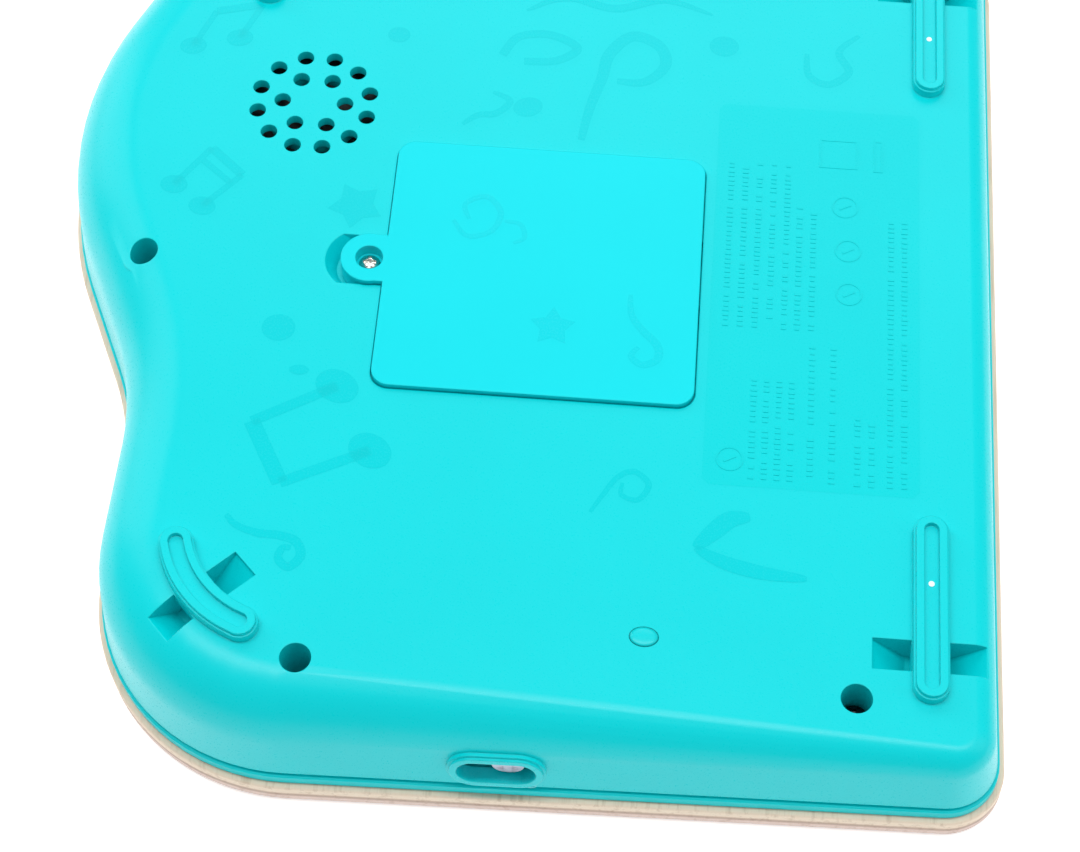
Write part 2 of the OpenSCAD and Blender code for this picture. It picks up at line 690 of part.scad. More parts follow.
// cell number k = -1, 0 or 1 across the box; the outer two point the same way
module cell(k) {
    body_l = cell_l - nub_l;
    way = k == 0 ? 180 : 0;
    on_back() translate([0, k * cell_pitch, cell_z]) rotate([0, 0, way])
        translate([box_half - contact_t - fit - cell_l, 0, 0]) rotate([0, 90, 0]) {
            color("#2f6fb5") cylinder(r = cell_r, h = body_l - 8);
            color("#d9b44a") translate([0, 0, body_l - 8 - eps]) cylinder(r = cell_r, h = 8);
            color(nickel) translate([0, 0, body_l - 2 * eps]) cylinder(r = nub_r, h = nub_l + 2 * eps);
        }
}
module battery_cell_1() { cell(-1); }
module battery_cell_2() { cell(0); }
module battery_cell_3() { cell(1); }

// places where a contact's tail leaves the box, local X pointing out of the box
module contact_tail_places() {
    translate([box_half, -cell_pitch, cell_z - 2]) children();
    translate([-box_half, cell_pitch, cell_z - 2]) rotate(180) children();
}
module contact_plate(side, k) {
    x = side > 0 ? box_half - contact_t : -box_half;
    block(x, x + contact_t, k * cell_pitch - contact_w / 2, k * cell_pitch + contact_w / 2,
        cell_z - contact_h / 2, cell_z + contact_h / 2);
}
module contact_bridge(side, k0, k1) {
    x = side > 0 ? box_half - contact_t : -box_half;
    block(x, x + contact_t, k0 * cell_pitch, k1 * cell_pitch, cell_z - contact_h / 2, cell_z - 0.5);
}
module contact_spring(side, k) {
    turns = 3.5;
    wire = 0.4;
    run = spring_room - 2 * wire + 0.05;
    translate([side * (box_half - contact_t), k * cell_pitch, cell_z]) rotate([0, -90 * side, 0])
        tube([for (i = [0 : 12 * turns])
            let (f = i / (12 * turns), r = 4.2 - 1.8 * f)
            [r * cos(30 * i), r * sin(30 * i), wire * 0.5 + run * f]], wire, 6);
}
module positive_contact() {
    color(nickel) on_back() {
        contact_plate(1, -1);
        translate([box_half - contact_t, -cell_pitch, cell_z - 2]) block(0.1, 3.4, -1.1, 1.1, -0.2, 0.2);
    }
}
module negative_contact() {
    color(nickel) on_back() {
        contact_plate(-1, 1);
        contact_spring(-1, 1);
        translate([-box_half + contact_t, cell_pitch, cell_z - 2]) block(-3.4, -0.1, -1.1, 1.1, -0.2, 0.2);
    }
}
module link_contact_left() {
    color(nickel) on_back() {
        contact_plate(-1, -1);
        contact_plate(-1, 0);
        contact_bridge(-1, -1, 0);
        contact_spring(-1, -1);
    }
}
module link_contact_right() {
    color(nickel) on_back() {
        contact_plate(1, 0);
        contact_plate(1, 1);
        contact_bridge(1, 0, 1);
        contact_spring(1, 0);
    }
}

// ---- speaker ----
basket_r = speaker_r - 9;
magnet_r = speaker_r - 11;
basket_deep = 6;
module at_speaker() {
    on_back() translate([speaker_xy.x, speaker_xy.y, speaker_seat]) children();
}
module speaker_frame() {
    t = 0.8;
    in = speaker_r - 2.6;
    color(steel) at_speaker() rotate_extrude() polygon([
        [in, 0], [speaker_r, 0], [speaker_r, -speaker_rim_t], [in + t, -speaker_rim_t],
        [in + t, -3], [basket_r + t, -basket_deep], [basket_r + t, -basket_deep - 1.2],
        [3.4, -basket_deep - 1.2], [3.4, -basket_deep - 0.4], [basket_r, -basket_deep],
        [in, -2.6]]);
}
module speaker_magnet() {
    color("#3a3a3d") at_speaker() translate([0, 0, -basket_deep - 5.2]) difference() {
        cylinder(r = magnet_r, h = 4);
        translate([0, 0, 3]) cylinder(r = 3.3, h = 2);
    }
}
module speaker_cone() {
    outer = speaker_r - 3;
    color(black) at_speaker() rotate_extrude() polygon([
        [0, -3.2], [1.8, -3.4], [3.2, -3.9], [4, -4.2], [outer - 3, -0.9], [outer - 2.2, 0.1],
        [outer - 1.1, 0.5], [outer - 0.3, 0.1], [outer, -0.5], [outer, -0.8], [outer - 0.5, -0.5],
        [outer - 1.2, 0.1], [outer - 2, -0.3], [outer - 2.8, -1.4], [4.2, -4.8], [3, -4.9],
        [3, -6.4], [2.6, -6.4], [2.6, -4.2], [1.6, -3.8], [0, -3.6]]);
}
module speaker_clamp() {
    color("#e9e9e6") at_speaker() difference() {
        union() {
            ring(speaker_r - 1.6, speaker_r + 2.4, -speaker_rim_t - clamp_t, -speaker_rim_t);
            for (a = speaker_ears) rotate(a) {
                translate([speaker_ear_r, 0, -speaker_rim_t - clamp_t]) cylinder(r = 3, h = clamp_t);
                block(speaker_r + 1, speaker_ear_r, -3, 3, -speaker_rim_t - clamp_t, -speaker_rim_t);
            }
        }
        for (a = speaker_ears) rotate(a) translate([speaker_ear_r, 0, -10]) cylinder(r = 1.2, h = 20);
    }
}
module screw_from_below(l) {
    rotate([180, 0, 0]) pan_screw(0.85, l, 1.8, 1.1);
}
module speaker_screws() {
    color(steel) at_speaker() for (a = speaker_ears) rotate(a)
        translate([speaker_ear_r, 0, -speaker_rim_t - clamp_t]) screw_from_below(4.6);
}

// ---- main board ----
module main_board() {
    color(board_green) on_back() difference() {
        block(pcb[0], pcb[1], pcb[2], pcb[3], pcb_z - pcb_t, pcb_z);
        for (p = pcb_holes) translate([p.x, p.y, pcb_z - 5]) cylinder(r = 1.2, h = 10);
    }
}
module below_board(x, y) {
    on_back() translate([x, y, pcb_z - pcb_t]) children();
}
module sound_chip() {
    color(black) below_board(12, -52) rotate_extrude() intersection() {
        translate([0, -1.8]) square([6, 1.8]);
        translate([0, 9.2]) circle(11, $fn = 64);
    }
}
module amplifier_chip() {
    color(black) below_board(-12, -50) block(-2.5, 2.5, -2, 2, -1.6, -0.1);
    color(nickel) below_board(-12, -50) for (s = [-1, 1]) for (k = [0 : 3])
        block(-2 + k * 1.2, -1.6 + k * 1.2, s > 0 ? 1.9 : -3, s > 0 ? 3 : -1.9, -0.4, 0);
}
module board_capacitors() {
    color("#2b2f52") for (p = [[30, -48], [37, -48], [30, -58]])
        below_board(p.x, p.y) translate([0, 0, -5.4]) cylinder(r = 2.5, h = 5.4);
}
module board_crystal() {
    color(nickel) below_board(12, -64) translate([0, 0, -3.4]) linear_extrude(3.4) slot_shape(10.5, 4.5);
}
module ribbon_connector() {
    color("#f2efe6") below_board(ribbon_x, pcb[2] + 0.8 + connector.y / 2) difference() {
        block(-connector.x / 2 - 1.5, connector.x / 2 + 1.5, -connector.y / 2, connector.y / 2,
            -connector.z, 0);
        block(-ribbon_w / 2 - 0.3, ribbon_w / 2 + 0.3, -connector.y, 0, -2.2, -1);
    }
}
module main_board_screws() {
    color(steel) on_back() for (p = pcb_holes)
        translate([p.x, p.y, pcb_z - pcb_t]) screw_from_below(5);
}

// ---- slide switch behind the lower side wall ----
module at_switch() { translate([switch_x, 0, switch_z]) children(); }
module switch_board() {
    color(board_green) at_switch() difference() {
        block(-switch_pcb.x / 2, switch_pcb.x / 2, switch_pcb_y, switch_pcb_y + switch_pcb.y,
            -switch_pcb.z / 2, switch_pcb.z / 2);
        for (s = [-1, 1]) translate([s * switch_post_x, switch_pcb_y + 5, 0])
            rotate([90, 0, 0]) cylinder(r = 1.2, h = 10);
    }
}
lever_w = 2;
module switch_body() {
    color(steel) at_switch() difference() {
        block(-switch_case.x / 2, switch_case.x / 2, case_y, switch_pcb_y,
            -switch_case.z / 2, switch_case.z / 2);
        block(-knob_travel / 2 - lever_w / 2 - 0.2, knob_travel / 2 + lever_w / 2 + 0.2,
            case_y - 1, case_y + 2.2, -lever_w / 2 - 0.1, lever_w / 2 + 0.1);
    }
}
module switch_lever() {
    color("#f4f4f2") at_switch() translate([knob_rest, 0, 0])
        block(-lever_w / 2, lever_w / 2, wall_in + 0.1, case_y + 2, -lever_w / 2, lever_w / 2);
}
module switch_knob() {
    out_y = side_y - bezel_proud + 2.4;    // front of the knob, well inside the rim
    color("#efe9f4") at_switch() translate([knob_rest, 0, 0]) difference() {
        union() {
            block(-slider_l / 2 + 2, slider_l / 2 - 2, wall_in, wall_in + slider_t,
                -slider_h / 2, slider_h / 2);
            translate([0, wall_in + 0.1, 0]) rotate([90, 0, 0]) cylinder(d = knob_d, h = wall_in - out_y);
        }
        translate([0, wall_in + 5.05, 0]) cube([lever_w + 0.1, 10, lever_w + 0.1], center = true);
        for (a = [0 : 90 : 270]) rotate([0, a + 45, 0]) translate([knob_d * 0.3, out_y, 0])
            rotate([90, 0, 0]) cylinder(r = 0.6, h = 1, center = true, $fn = 24);
    }
}
module switch_board_screws() {
    color(steel) at_switch() for (s = [-1, 1])
        translate([s * switch_post_x, switch_pcb_y + switch_pcb.y, 0])
            rotate([-90, 0, 0]) pan_screw(0.85, 4.6, 1.8, 1.1);
}

// ---- wires, in the frame of the back ----
wire_r = 0.65;
pcb_pad_z = pcb_z - pcb_t - 0.7;
module wires(routes) {
    for (r = routes) tube(route(r), wire_r);
}
module battery_leads() {
    color("#c8202a") on_back() wires([[
        [32.6, -14.9, -10], [34.5, -17, -10.6], [36, -24, -12], [38.5, -30, -13.6],
        [39, -35, -13.6], [38.5, -38.4, -12], [38.2, -40, pcb_pad_z]]]);
    color(black) on_back() wires([[
        [-32.6, 14.9, -10], [-36, 12, -10.8], [-39.6, 5, -12], [-40.4, -6, -13],
        [-38, -20, -13.6], [-33, -30, -13.6], [-26, -36, -13.4], [-20.5, -40, -12.4],
        [-18, -42.6, pcb_pad_z]]]);
}
module speaker_leads() {
    color("#c8202a") on_back() wires([[
        [-46.6, 25, -12.6], [-45.6, 22, -14], [-44.6, 14, -15], [-44.6, 2, -15], [-43.4, -14, -15],
        [-40, -28, -14.6], [-32, -39, -14], [-24.6, -45, -13], [-21.4, -47.6, pcb_pad_z]]]);
    color(black) on_back() wires([[
        [-50.4, 25, -12.6], [-49, 21.6, -14], [-47.8, 14, -15], [-47.6, 2, -15], [-46, -14, -15],
        [-42.4, -30, -14.6], [-34, -42.4, -14], [-25, -49, -13], [-21.4, -51, pcb_pad_z]]]);
}
module switch_leads() {
    colors = ["#e8e8e8", "#e3b61f", "#2e8b57"];
    for (k = [0 : 2]) color(colors[k]) on_back() wires([[
        [-5.4 + 3 * k, -85.7, -12.1], [-5.4 + 3 * k, -84.4, -12.6], [2 + 2.6 * k, -80, -13.4],
        [9 + 2.4 * k, -75, -13.4], [11.4 + 2.4 * k, -71.4, -12.4], [11.6 + 2.4 * k, -69.8, pcb_pad_z]]]);
}

rear_housing();
front_frame();
front_board();
battery_cover();
cover_screw();
cover_screw_washer();
battery_cell_1();
battery_cell_2();
battery_cell_3();
positive_contact();
negative_contact();
link_contact_left();
link_contact_right();
speaker_frame();
speaker_magnet();
speaker_cone();
speaker_clamp();
speaker_screws();
main_board();
sound_chip();
amplifier_chip();
board_capacitors();
board_crystal();
ribbon_connector();
main_board_screws();
switch_board();
switch_body();
switch_lever();
switch_knob();
switch_board_screws();
touch_board();
touch_pads();
touch_ribbon();
battery_leads();
speaker_leads();
switch_leads();
housing_screws();
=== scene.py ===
# %% [markdown]
# # Kids toy tablet, lying on its wooden face with its plastic back up
#
# The object is a thin musical toy. A plywood board is its front, and a moulded teal shell
# closes it from behind. The back carries a battery door, a ring of speaker holes, four feet
# that a strap can pass under, and a slide switch in the lower wall.
#
# The CAD model is loaded first and stays the frame: every piece below is in metres, in the
# same place as the CAD node that it stands for, and rides on the body that the node belongs to.

# %% Load the frame
import math

import bmesh
import bpy
from mathutils import Euler, Matrix, Vector


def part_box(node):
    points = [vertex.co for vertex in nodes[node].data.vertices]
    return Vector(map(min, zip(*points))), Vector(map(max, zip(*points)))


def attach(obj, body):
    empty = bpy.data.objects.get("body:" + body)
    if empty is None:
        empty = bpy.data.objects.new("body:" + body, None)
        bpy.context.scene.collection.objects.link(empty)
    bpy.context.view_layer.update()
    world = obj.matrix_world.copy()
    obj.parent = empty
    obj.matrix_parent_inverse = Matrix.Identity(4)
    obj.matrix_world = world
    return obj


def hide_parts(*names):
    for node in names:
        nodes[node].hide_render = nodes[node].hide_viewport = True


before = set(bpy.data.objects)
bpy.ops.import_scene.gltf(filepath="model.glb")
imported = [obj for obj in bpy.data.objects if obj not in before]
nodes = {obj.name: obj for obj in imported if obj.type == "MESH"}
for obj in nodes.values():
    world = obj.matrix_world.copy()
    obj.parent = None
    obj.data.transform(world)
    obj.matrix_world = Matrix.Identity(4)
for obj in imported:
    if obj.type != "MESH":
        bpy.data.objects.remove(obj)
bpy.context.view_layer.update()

MM = 0.001

# %% [markdown]
# ## Sizes
#
# The plan outline is a belt round six circles, as a pattern maker would draw it. One of them,
# the waist, has a negative radius, so the outline bends inwards round it. The back slopes down
# towards the straight long edge. The pieces on it are drawn flat, in millimetres from the
# middle of the battery door, and then laid on the slope by one function.

# %% Sizes in millimetres
body_right, body_left, body_l = 87, 98.2, 195.8
half_l = body_l / 2
skirt_z = 7.5
housing_h = 14.8
skirt_h, skirt_draft = 10.2, 1.2
slope = math.radians(3.1)
back_z = skirt_z + housing_h + body_right * math.tan(slope)
corner_r, shoulder_r, waist_r, bulge_r, crown_r = 9.5, 38.9, 55, 68, 50
wave_depth = 19.3
shoulder = (-body_left + wave_depth + shoulder_r, -half_l + shoulder_r)
bulge = (-body_left + bulge_r, half_l - 64.9)
crown = (bulge[0] - 13, half_l - crown_r)
waist = (-body_left + wave_depth + 0.5 - waist_r, bulge[1] - 70.2)
belt = [(body_right - corner_r, -half_l + corner_r, corner_r),
        (body_right - corner_r, half_l - corner_r, corner_r),
        (*crown, crown_r), (*bulge, bulge_r), (*waist, -waist_r), (*shoulder, shoulder_r)]
board_t = 5
board_out = 1.6


def run_angle(a, b):
    """Angle in degrees of the outward normal on the straight run from circle a to circle b."""
    gap = math.dist(a[:2], b[:2])
    return math.degrees(math.atan2(b[1] - a[1], b[0] - a[0]) - math.acos((a[2] - b[2]) / gap))


def outline(inset, step=2.5):
    """Plan outline, moved inwards by inset, with a point every few degrees of arc."""
    points = []
    for i, (cx, cy, r) in enumerate(belt):
        start = run_angle(belt[i - 1], belt[i])
        end = run_angle(belt[i], belt[(i + 1) % len(belt)])
        sweep = (end - start) % 360 if r > 0 else -((start - end) % 360)
        count = max(2, math.ceil(abs(sweep) / step))
        for k in range(count + 1):
            a = math.radians(start + sweep * k / count)
            points.append((cx + (r - inset) * math.cos(a), cy + (r - inset) * math.sin(a)))
    return points


def on_back(x, y, z=0.0):
    """Point on the sloping back, from millimetres in its own frame to metres."""
    return Vector((x * math.cos(slope) + z * math.sin(slope), y,
                   z * math.cos(slope) - x * math.sin(slope) + back_z)) * MM


print("outline points:", len(outline(0)))

# %% [markdown]
# ## Helpers for meshes
#
# A CAD node comes as loose triangles. For a piece that shows, a copy of it is welded. Most
# pieces then get a small bevel, and the modifiers are evaluated into a plain mesh, so that what
# rides on a body is only a mesh. The shell, the door, the speaker's cone and the contacts have
# long thin triangles that a bevel would tear. They get custom normals instead.

# %% Mesh helpers
def new_object(name, mesh):
    obj = bpy.data.objects.new(name, mesh)
    bpy.context.scene.collection.objects.link(obj)
    return obj


def finished(obj):
    """The object's modifiers turned into its plain mesh."""
    graph = bpy.context.evaluated_depsgraph_get()
    mesh = bpy.data.meshes.new_from_object(obj.evaluated_get(graph))
    obj.modifiers.clear()
    obj.data = mesh
    mesh.name = obj.name
    return obj


def rounded(obj, width, segments):
    """A small bevel on the sharp edges, and smooth shading that keeps flat faces flat."""
    obj.data.shade_smooth()
    bevel = obj.modifiers.new("edge", "BEVEL")
    bevel.width = width * MM
    bevel.segments = segments
    bevel.limit_method = "ANGLE"
    bevel.angle_limit = math.radians(32)
    bevel.use_clamp_overlap = False
    finished(obj)
    obj.data.set_sharp_from_angle(angle=math.radians(38))
    weighted = obj.modifiers.new("normals", "WEIGHTED_NORMAL")
    weighted.keep_sharp = True
    weighted.weight = 80
    return finished(obj)


def facet_normals(obj, sharp=30, wide=600):
    """Custom normals: at each corner the mean of the facets that meet there, each facet once.

    A facet counts once however its triangles are cut, so holes leave no streaks. Where a facet
    belongs to a wide flat face (more than so many square mm), its normal is kept as it is.
    """
    mesh = obj.data
    facets, area = {}, {}
    for face in mesh.polygons:
        key = tuple(round(c * 120) for c in face.normal)
        facets[face.index] = key
        area[key] = area.get(key, 0) + face.area / MM ** 2
    around = [[] for _ in mesh.vertices]
    for face in mesh.polygons:
        for v in face.vertices:
            around[v].append(face.index)
    limit = math.cos(math.radians(sharp))
    normals = []
    for face in mesh.polygons:
        mine = face.normal.copy()
        for v in face.vertices:
            near = {}
            for other in around[v]:
                n = mesh.polygons[other].normal
                if n.dot(mine) > limit:
                    near[facets[other]] = n.copy()
            broad = [key for key in near if area[key] > wide]
            total = near[max(broad, key=area.get)].copy() if broad else sum(near.values(), Vector())
            normals.append(total.normalized() if near else mine)
    mesh.shade_smooth()
    mesh.normals_split_custom_set(normals)


def welded(node, name):
    """A welded copy of a CAD node."""
    mesh = nodes[node].data.copy()
    mesh.materials.clear()
    soup = bmesh.new()
    soup.from_mesh(mesh)
    bmesh.ops.remove_doubles(soup, verts=soup.verts, dist=2e-6)
    soup.to_mesh(mesh)
    soup.free()
    return new_object(name, mesh)


def stacked(rings, name):
    """A closed solid from rings of points, first and last ring capped."""
    solid = bmesh.new()
    rows = [[solid.verts.new(Vector(p) * MM) for p in ring] for ring in rings]
    for low, high in zip(rows, rows[1:]):
        for k in range(len(low)):
            j = (k + 1) % len(low)
            solid.faces.new((low[k], low[j], high[j], high[k]))
    solid.faces.new(rows[0][::-1])
    solid.faces.new(rows[-1])
    bmesh.ops.recalc_face_normals(solid, faces=solid.faces)
    mesh = bpy.data.meshes.new(name)
    solid.to_mesh(mesh)
    solid.free()
    return new_object(name, mesh)


# %% [markdown]
# ## Helpers for materials
#
# Each finish starts from the real one: ABS from a polished or a fine-textured mould, plywood
# with its plies, plated steel, a circuit board. Colours are written as the screen shows them
# and turned to linear by one function. Patterns are measured in millimetres, and an edge radius
# is a Bevel node that feeds the bump.

# %% Material helpers
def colour(code):
    """sRGB hex to linear RGBA."""
    parts = [int(code[k:k + 2], 16) / 255 for k in (1, 3, 5)]
    return (*[c / 12.92 if c <= 0.04045 else ((c + 0.055) / 1.055) ** 2.4 for c in parts], 1)


def add(tree, kind, settings=None, **inputs):
    """A node with its settings. Inputs go by name, spaces as underscores, or by number as i0."""
    node = tree.nodes.new(kind)
    for key, value in (settings or {}).items():
        setattr(node, key, value)
    for key, value in inputs.items():
        socket = node.inputs[int(key[1:])] if key[1:].isdigit() else node.inputs[key.replace("_", " ")]
        if isinstance(value, bpy.types.NodeSocket):
            tree.links.new(value, socket)
        else:
            socket.default_value = value
    return node


def blank(name):
    """A material with only its output, and the object's own coordinates."""
    material = bpy.data.materials.new(name)
    material.use_nodes = True
    tree = material.node_tree
    tree.nodes.clear()
    place = add(tree, "ShaderNodeTexCoord").outputs["Object"]
    return material, tree, place


def close(material, tree, shader):
    add(tree, "ShaderNodeOutputMaterial", Surface=shader.outputs[0])
    return material


def ramp(tree, fac, stops, constant=False):
    """Colour ramp through (position, hex) stops."""
    node = add(tree, "ShaderNodeValToRGB", Fac=fac)
    if constant:
        node.color_ramp.interpolation = "CONSTANT"
    elements = node.color_ramp.elements
    elements.remove(elements[1])
    elements[0].position, elements[0].color = stops[0][0], colour(stops[0][1])
    for position, code in stops[1:]:
        elements.new(position).color = colour(code)
    return node.outputs["Color"]


def moulded(name, dark, light, roughness, grain=0.35, depth=0.012, mottle=18, scatter=0.0, sheen=0.5,
            edge=0.0):
    """Injection-moulded plastic: a slow drift of shade, fine mould texture, edge radius in mm."""
    material, tree, place = blank(name)
    flow = add(tree, "ShaderNodeTexNoise", Vector=place, Scale=1 / (mottle * MM), Detail=3.0,
               Roughness=0.55)
    shade = ramp(tree, flow.outputs[0], [(0.3, dark), (0.7, light)])
    texture = add(tree, "ShaderNodeTexNoise", Vector=place, Scale=1 / (grain * MM), Detail=2.0)
    gloss = add(tree, "ShaderNodeMapRange", Value=texture.outputs[0], From_Min=0.3, From_Max=0.7,
                To_Min=roughness - 0.05, To_Max=roughness + 0.05)
    bump = add(tree, "ShaderNodeBump", Height=texture.outputs[0], Strength=0.35, Distance=depth * MM)
    if edge:
        soft = add(tree, "ShaderNodeBevel", {"samples": 6}, Radius=edge * MM)
        tree.links.new(soft.outputs[0], bump.inputs["Normal"])
    shader = add(tree, "ShaderNodeBsdfPrincipled", Base_Color=shade, Roughness=gloss.outputs[0],
                 Normal=bump.outputs[0], IOR=1.53, Specular_IOR_Level=sheen)
    if scatter:
        shader.inputs["Subsurface Weight"].default_value = scatter
        shader.inputs["Subsurface Scale"].default_value = 0.6 * MM
        shader.inputs["Subsurface Radius"].default_value = (0.4, 1.0, 1.0)
    return close(material, tree, shader)


def plated(name, dark, light, roughness, grain=0.5):
    """Plated or rolled metal: a fine drift in shade and polish."""
    material, tree, place = blank(name)
    cloud = add(tree, "ShaderNodeTexNoise", Vector=place, Scale=1 / (grain * MM), Detail=4.0)
    shade = ramp(tree, cloud.outputs[0], [(0.3, dark), (0.7, light)])
    gloss = add(tree, "ShaderNodeMapRange", Value=cloud.outputs[0], From_Min=0.3, From_Max=0.7,
                To_Min=roughness * 0.75, To_Max=roughness * 1.25)
    bump = add(tree, "ShaderNodeBump", Height=cloud.outputs[0], Strength=0.2, Distance=0.01 * MM)
    return close(material, tree, add(tree, "ShaderNodeBsdfPrincipled", Base_Color=shade, Metallic=1.0,
                                     Roughness=gloss.outputs[0], Normal=bump.outputs[0]))


# %% [markdown]
# ## Finishes
#
# The shell and the frame are ABS in a saturated teal. The mould is lightly blasted, so the
# surface is satin and its highlights spread. The door comes from another mould and is a shade
# brighter. The marks on the back are polished in the mould: the same plastic, smoother and a
# shade darker.

# %% Plastics
teal_abs = {"mottle": 45, "scatter": 0.1, "sheen": 0.16}
moulded_edge = 0.35                # radius that a mould leaves on outer edges
housing_abs = moulded("satin_teal_abs", "#00d6dc", "#00d9df", 0.31, depth=0.005, mottle=45, scatter=0.1,
                      sheen=0.22, edge=moulded_edge)
frame_abs = moulded("satin_teal_abs_frame", "#00d3d9", "#00d7dc", 0.34, **teal_abs)
door_abs = moulded("satin_teal_abs_door", "#00dbe5", "#00dee8", 0.34, depth=0.005, edge=moulded_edge,
                   **teal_abs)
polished_abs = moulded("polished_teal_abs", "#00d0d7", "#00d3da", 0.26, depth=0.004, **teal_abs)
panel_abs = moulded("panel_teal_abs", "#00d4da", "#00d7dc", 0.30, depth=0.004, **teal_abs)
# painted highlight: the signs are the shell's teal made paler, for light on their raised edges
sign_painted_highlight_abs = moulded("edge_lit_teal_abs", "#48e2e8", "#54e8ee", 0.30, scatter=0.2)
door_mark_abs = moulded("polished_door_abs", "#00d5e0", "#00d8e3", 0.26, depth=0.004, mottle=45, sheen=0.16)
# white stress marks where the gate was broken off the feet
gate_abs = moulded("whitened_abs", "#e8fbfb", "#ffffff", 0.55)
# the knob is moulded in a pale lilac white
knob_abs = moulded("lilac_white_abs", "#e2dbee", "#efeaf6", 0.38, scatter=0.2)
white_pom = moulded("natural_white_pom", "#e4e3dd", "#f0efea", 0.42, scatter=0.2)
ivory_nylon = moulded("ivory_nylon", "#dcd7c6", "#e8e4d6", 0.5)
black_epoxy = moulded("black_moulding_compound", "#0c0c0e", "#17171a", 0.6, grain=0.2)
cone_paper = moulded("black_cone_film", "#08080a", "#141416", 0.55, grain=0.6, depth=0.03)
cap_sleeve = moulded("blue_black_shrink_sleeve", "#1b2044", "#262c58", 0.25)
film = moulded("flat_cable_film", "#d8d2c0", "#e6e1d2", 0.35)
wire_pvc = {
    "battery_leads": moulded("red_pvc", "#a81420", "#c01c28", 0.35),
    "speaker_leads": moulded("brown_pvc", "#54301c", "#6a3f26", 0.35),
    "switch_leads": moulded("yellow_pvc", "#c79a14", "#dcb02a", 0.35)}

# %% [markdown]
# ## Metals
#
# The door's screw, its washer and the contacts are bright nickel, the screws inside are dull
# zinc, and the shell's own screws are blackened. A picture of metal would need each piece laid
# out flat, so a fine noise measured in millimetres drives both shade and polish.

# %% Metals
nickel = plated("bright_nickel_plate", "#c4c2bc", "#dedcd6", 0.18)
zinc = plated("zinc_plate", "#8f9297", "#b0b3b8", 0.34)
dark_zinc = plated("blackened_zinc_plate", "#2c2e32", "#3e4146", 0.42)
# sintered magnet, nearly black and matt
ferrite = moulded("sintered_ferrite", "#1d1d20", "#2a2a2e", 0.75, grain=0.4, depth=0.03)
copper = plated("etched_copper", "#b06f3c", "#cc8a52", 0.32)

# %% [markdown]
# ## Birch plywood
#
# The board's edge shows its plies: pale long-grain plies with a darker core between them, and
# a sanded lower edge, towards which the colour darkens. Every ply is painted paler than the wood,
# as painted light against the shade and the teal light that the plastic's rim throws on them. The
# faces show long, quiet birch grain along the straight edge. The plies are bands in height, so
# one material serves face and edge.

# %% Plywood
def plywood():
    material, tree, place = blank("varnished_birch_plywood")
    split = add(tree, "ShaderNodeSeparateXYZ", Vector=place)
    wander = add(tree, "ShaderNodeTexNoise", Vector=place, Scale=1 / (9 * MM), Detail=2.0)
    wobble = add(tree, "ShaderNodeMath", {"operation": "MULTIPLY_ADD"}, i0=wander.outputs[0],
                 i1=0.3 * MM, i2=split.outputs["Z"])
    height = add(tree, "ShaderNodeMapRange", Value=wobble.outputs[0], From_Min=0.0,
                 From_Max=board_t * MM)
    # painted light: every ply is paler than the wood, to offset the shade under the plastic's rim
    plies_painted_paler = ramp(tree, height.outputs[0], [
        (0.0, "#c2aaa4"), (0.12, "#dccac2"), (0.34, "#ead2c8"), (0.52, "#b89c8c"), (0.60, "#d2b8a4"),
        (0.68, "#f6e2cc"), (0.9, "#fae8d2"), (1.0, "#f0dcc6")])
    stretch = add(tree, "ShaderNodeMapping", Vector=place, Scale=(1, 0.06, 1))
    grain = add(tree, "ShaderNodeTexNoise", Vector=stretch.outputs[0], Scale=1 / (1.1 * MM), Detail=6.0,
                Roughness=0.6)
    fibre = ramp(tree, grain.outputs[0], [(0.32, "#cdbfae"), (0.5, "#ffffff"), (0.75, "#f6efe6")])
    mixed = add(tree, "ShaderNodeMix", {"data_type": "RGBA", "blend_type": "MULTIPLY"},
                Factor=0.45, i6=plies_painted_paler, i7=fibre)
    bump = add(tree, "ShaderNodeBump", Height=grain.outputs[0], Strength=0.4, Distance=0.05 * MM)
    shader = add(tree, "ShaderNodeBsdfPrincipled", Base_Color=mixed.outputs[2], Roughness=0.55,
                 Normal=bump.outputs[0], IOR=1.5)
    return close(material, tree, shader)


birch = plywood()

# %% [markdown]
# ## Circuit boards and cells
#
# Solder mask is a thin green varnish over copper tracks, so fine straight tracks show through
# as paler lines. The cells wear a printed sleeve: blue, with a gold band at the raised end.

# %% Boards and cells
def solder_mask():
    material, tree, place = blank("green_solder_mask")
    tracks = add(tree, "ShaderNodeTexBrick", Vector=place, Scale=1 / (9 * MM), Mortar_Size=0.012,
                 Color1=colour("#0b5a34"), Color2=colour("#0c6138"), Mortar=colour("#2c9160"))
    bump = add(tree, "ShaderNodeBump", Height=tracks.outputs["Fac"], Strength=0.3, Distance=0.03 * MM)
    shader = add(tree, "ShaderNodeBsdfPrincipled", Base_Color=tracks.outputs["Color"], Roughness=0.28,
                 Normal=bump.outputs[0], IOR=1.5)
    return close(material, tree, shader)


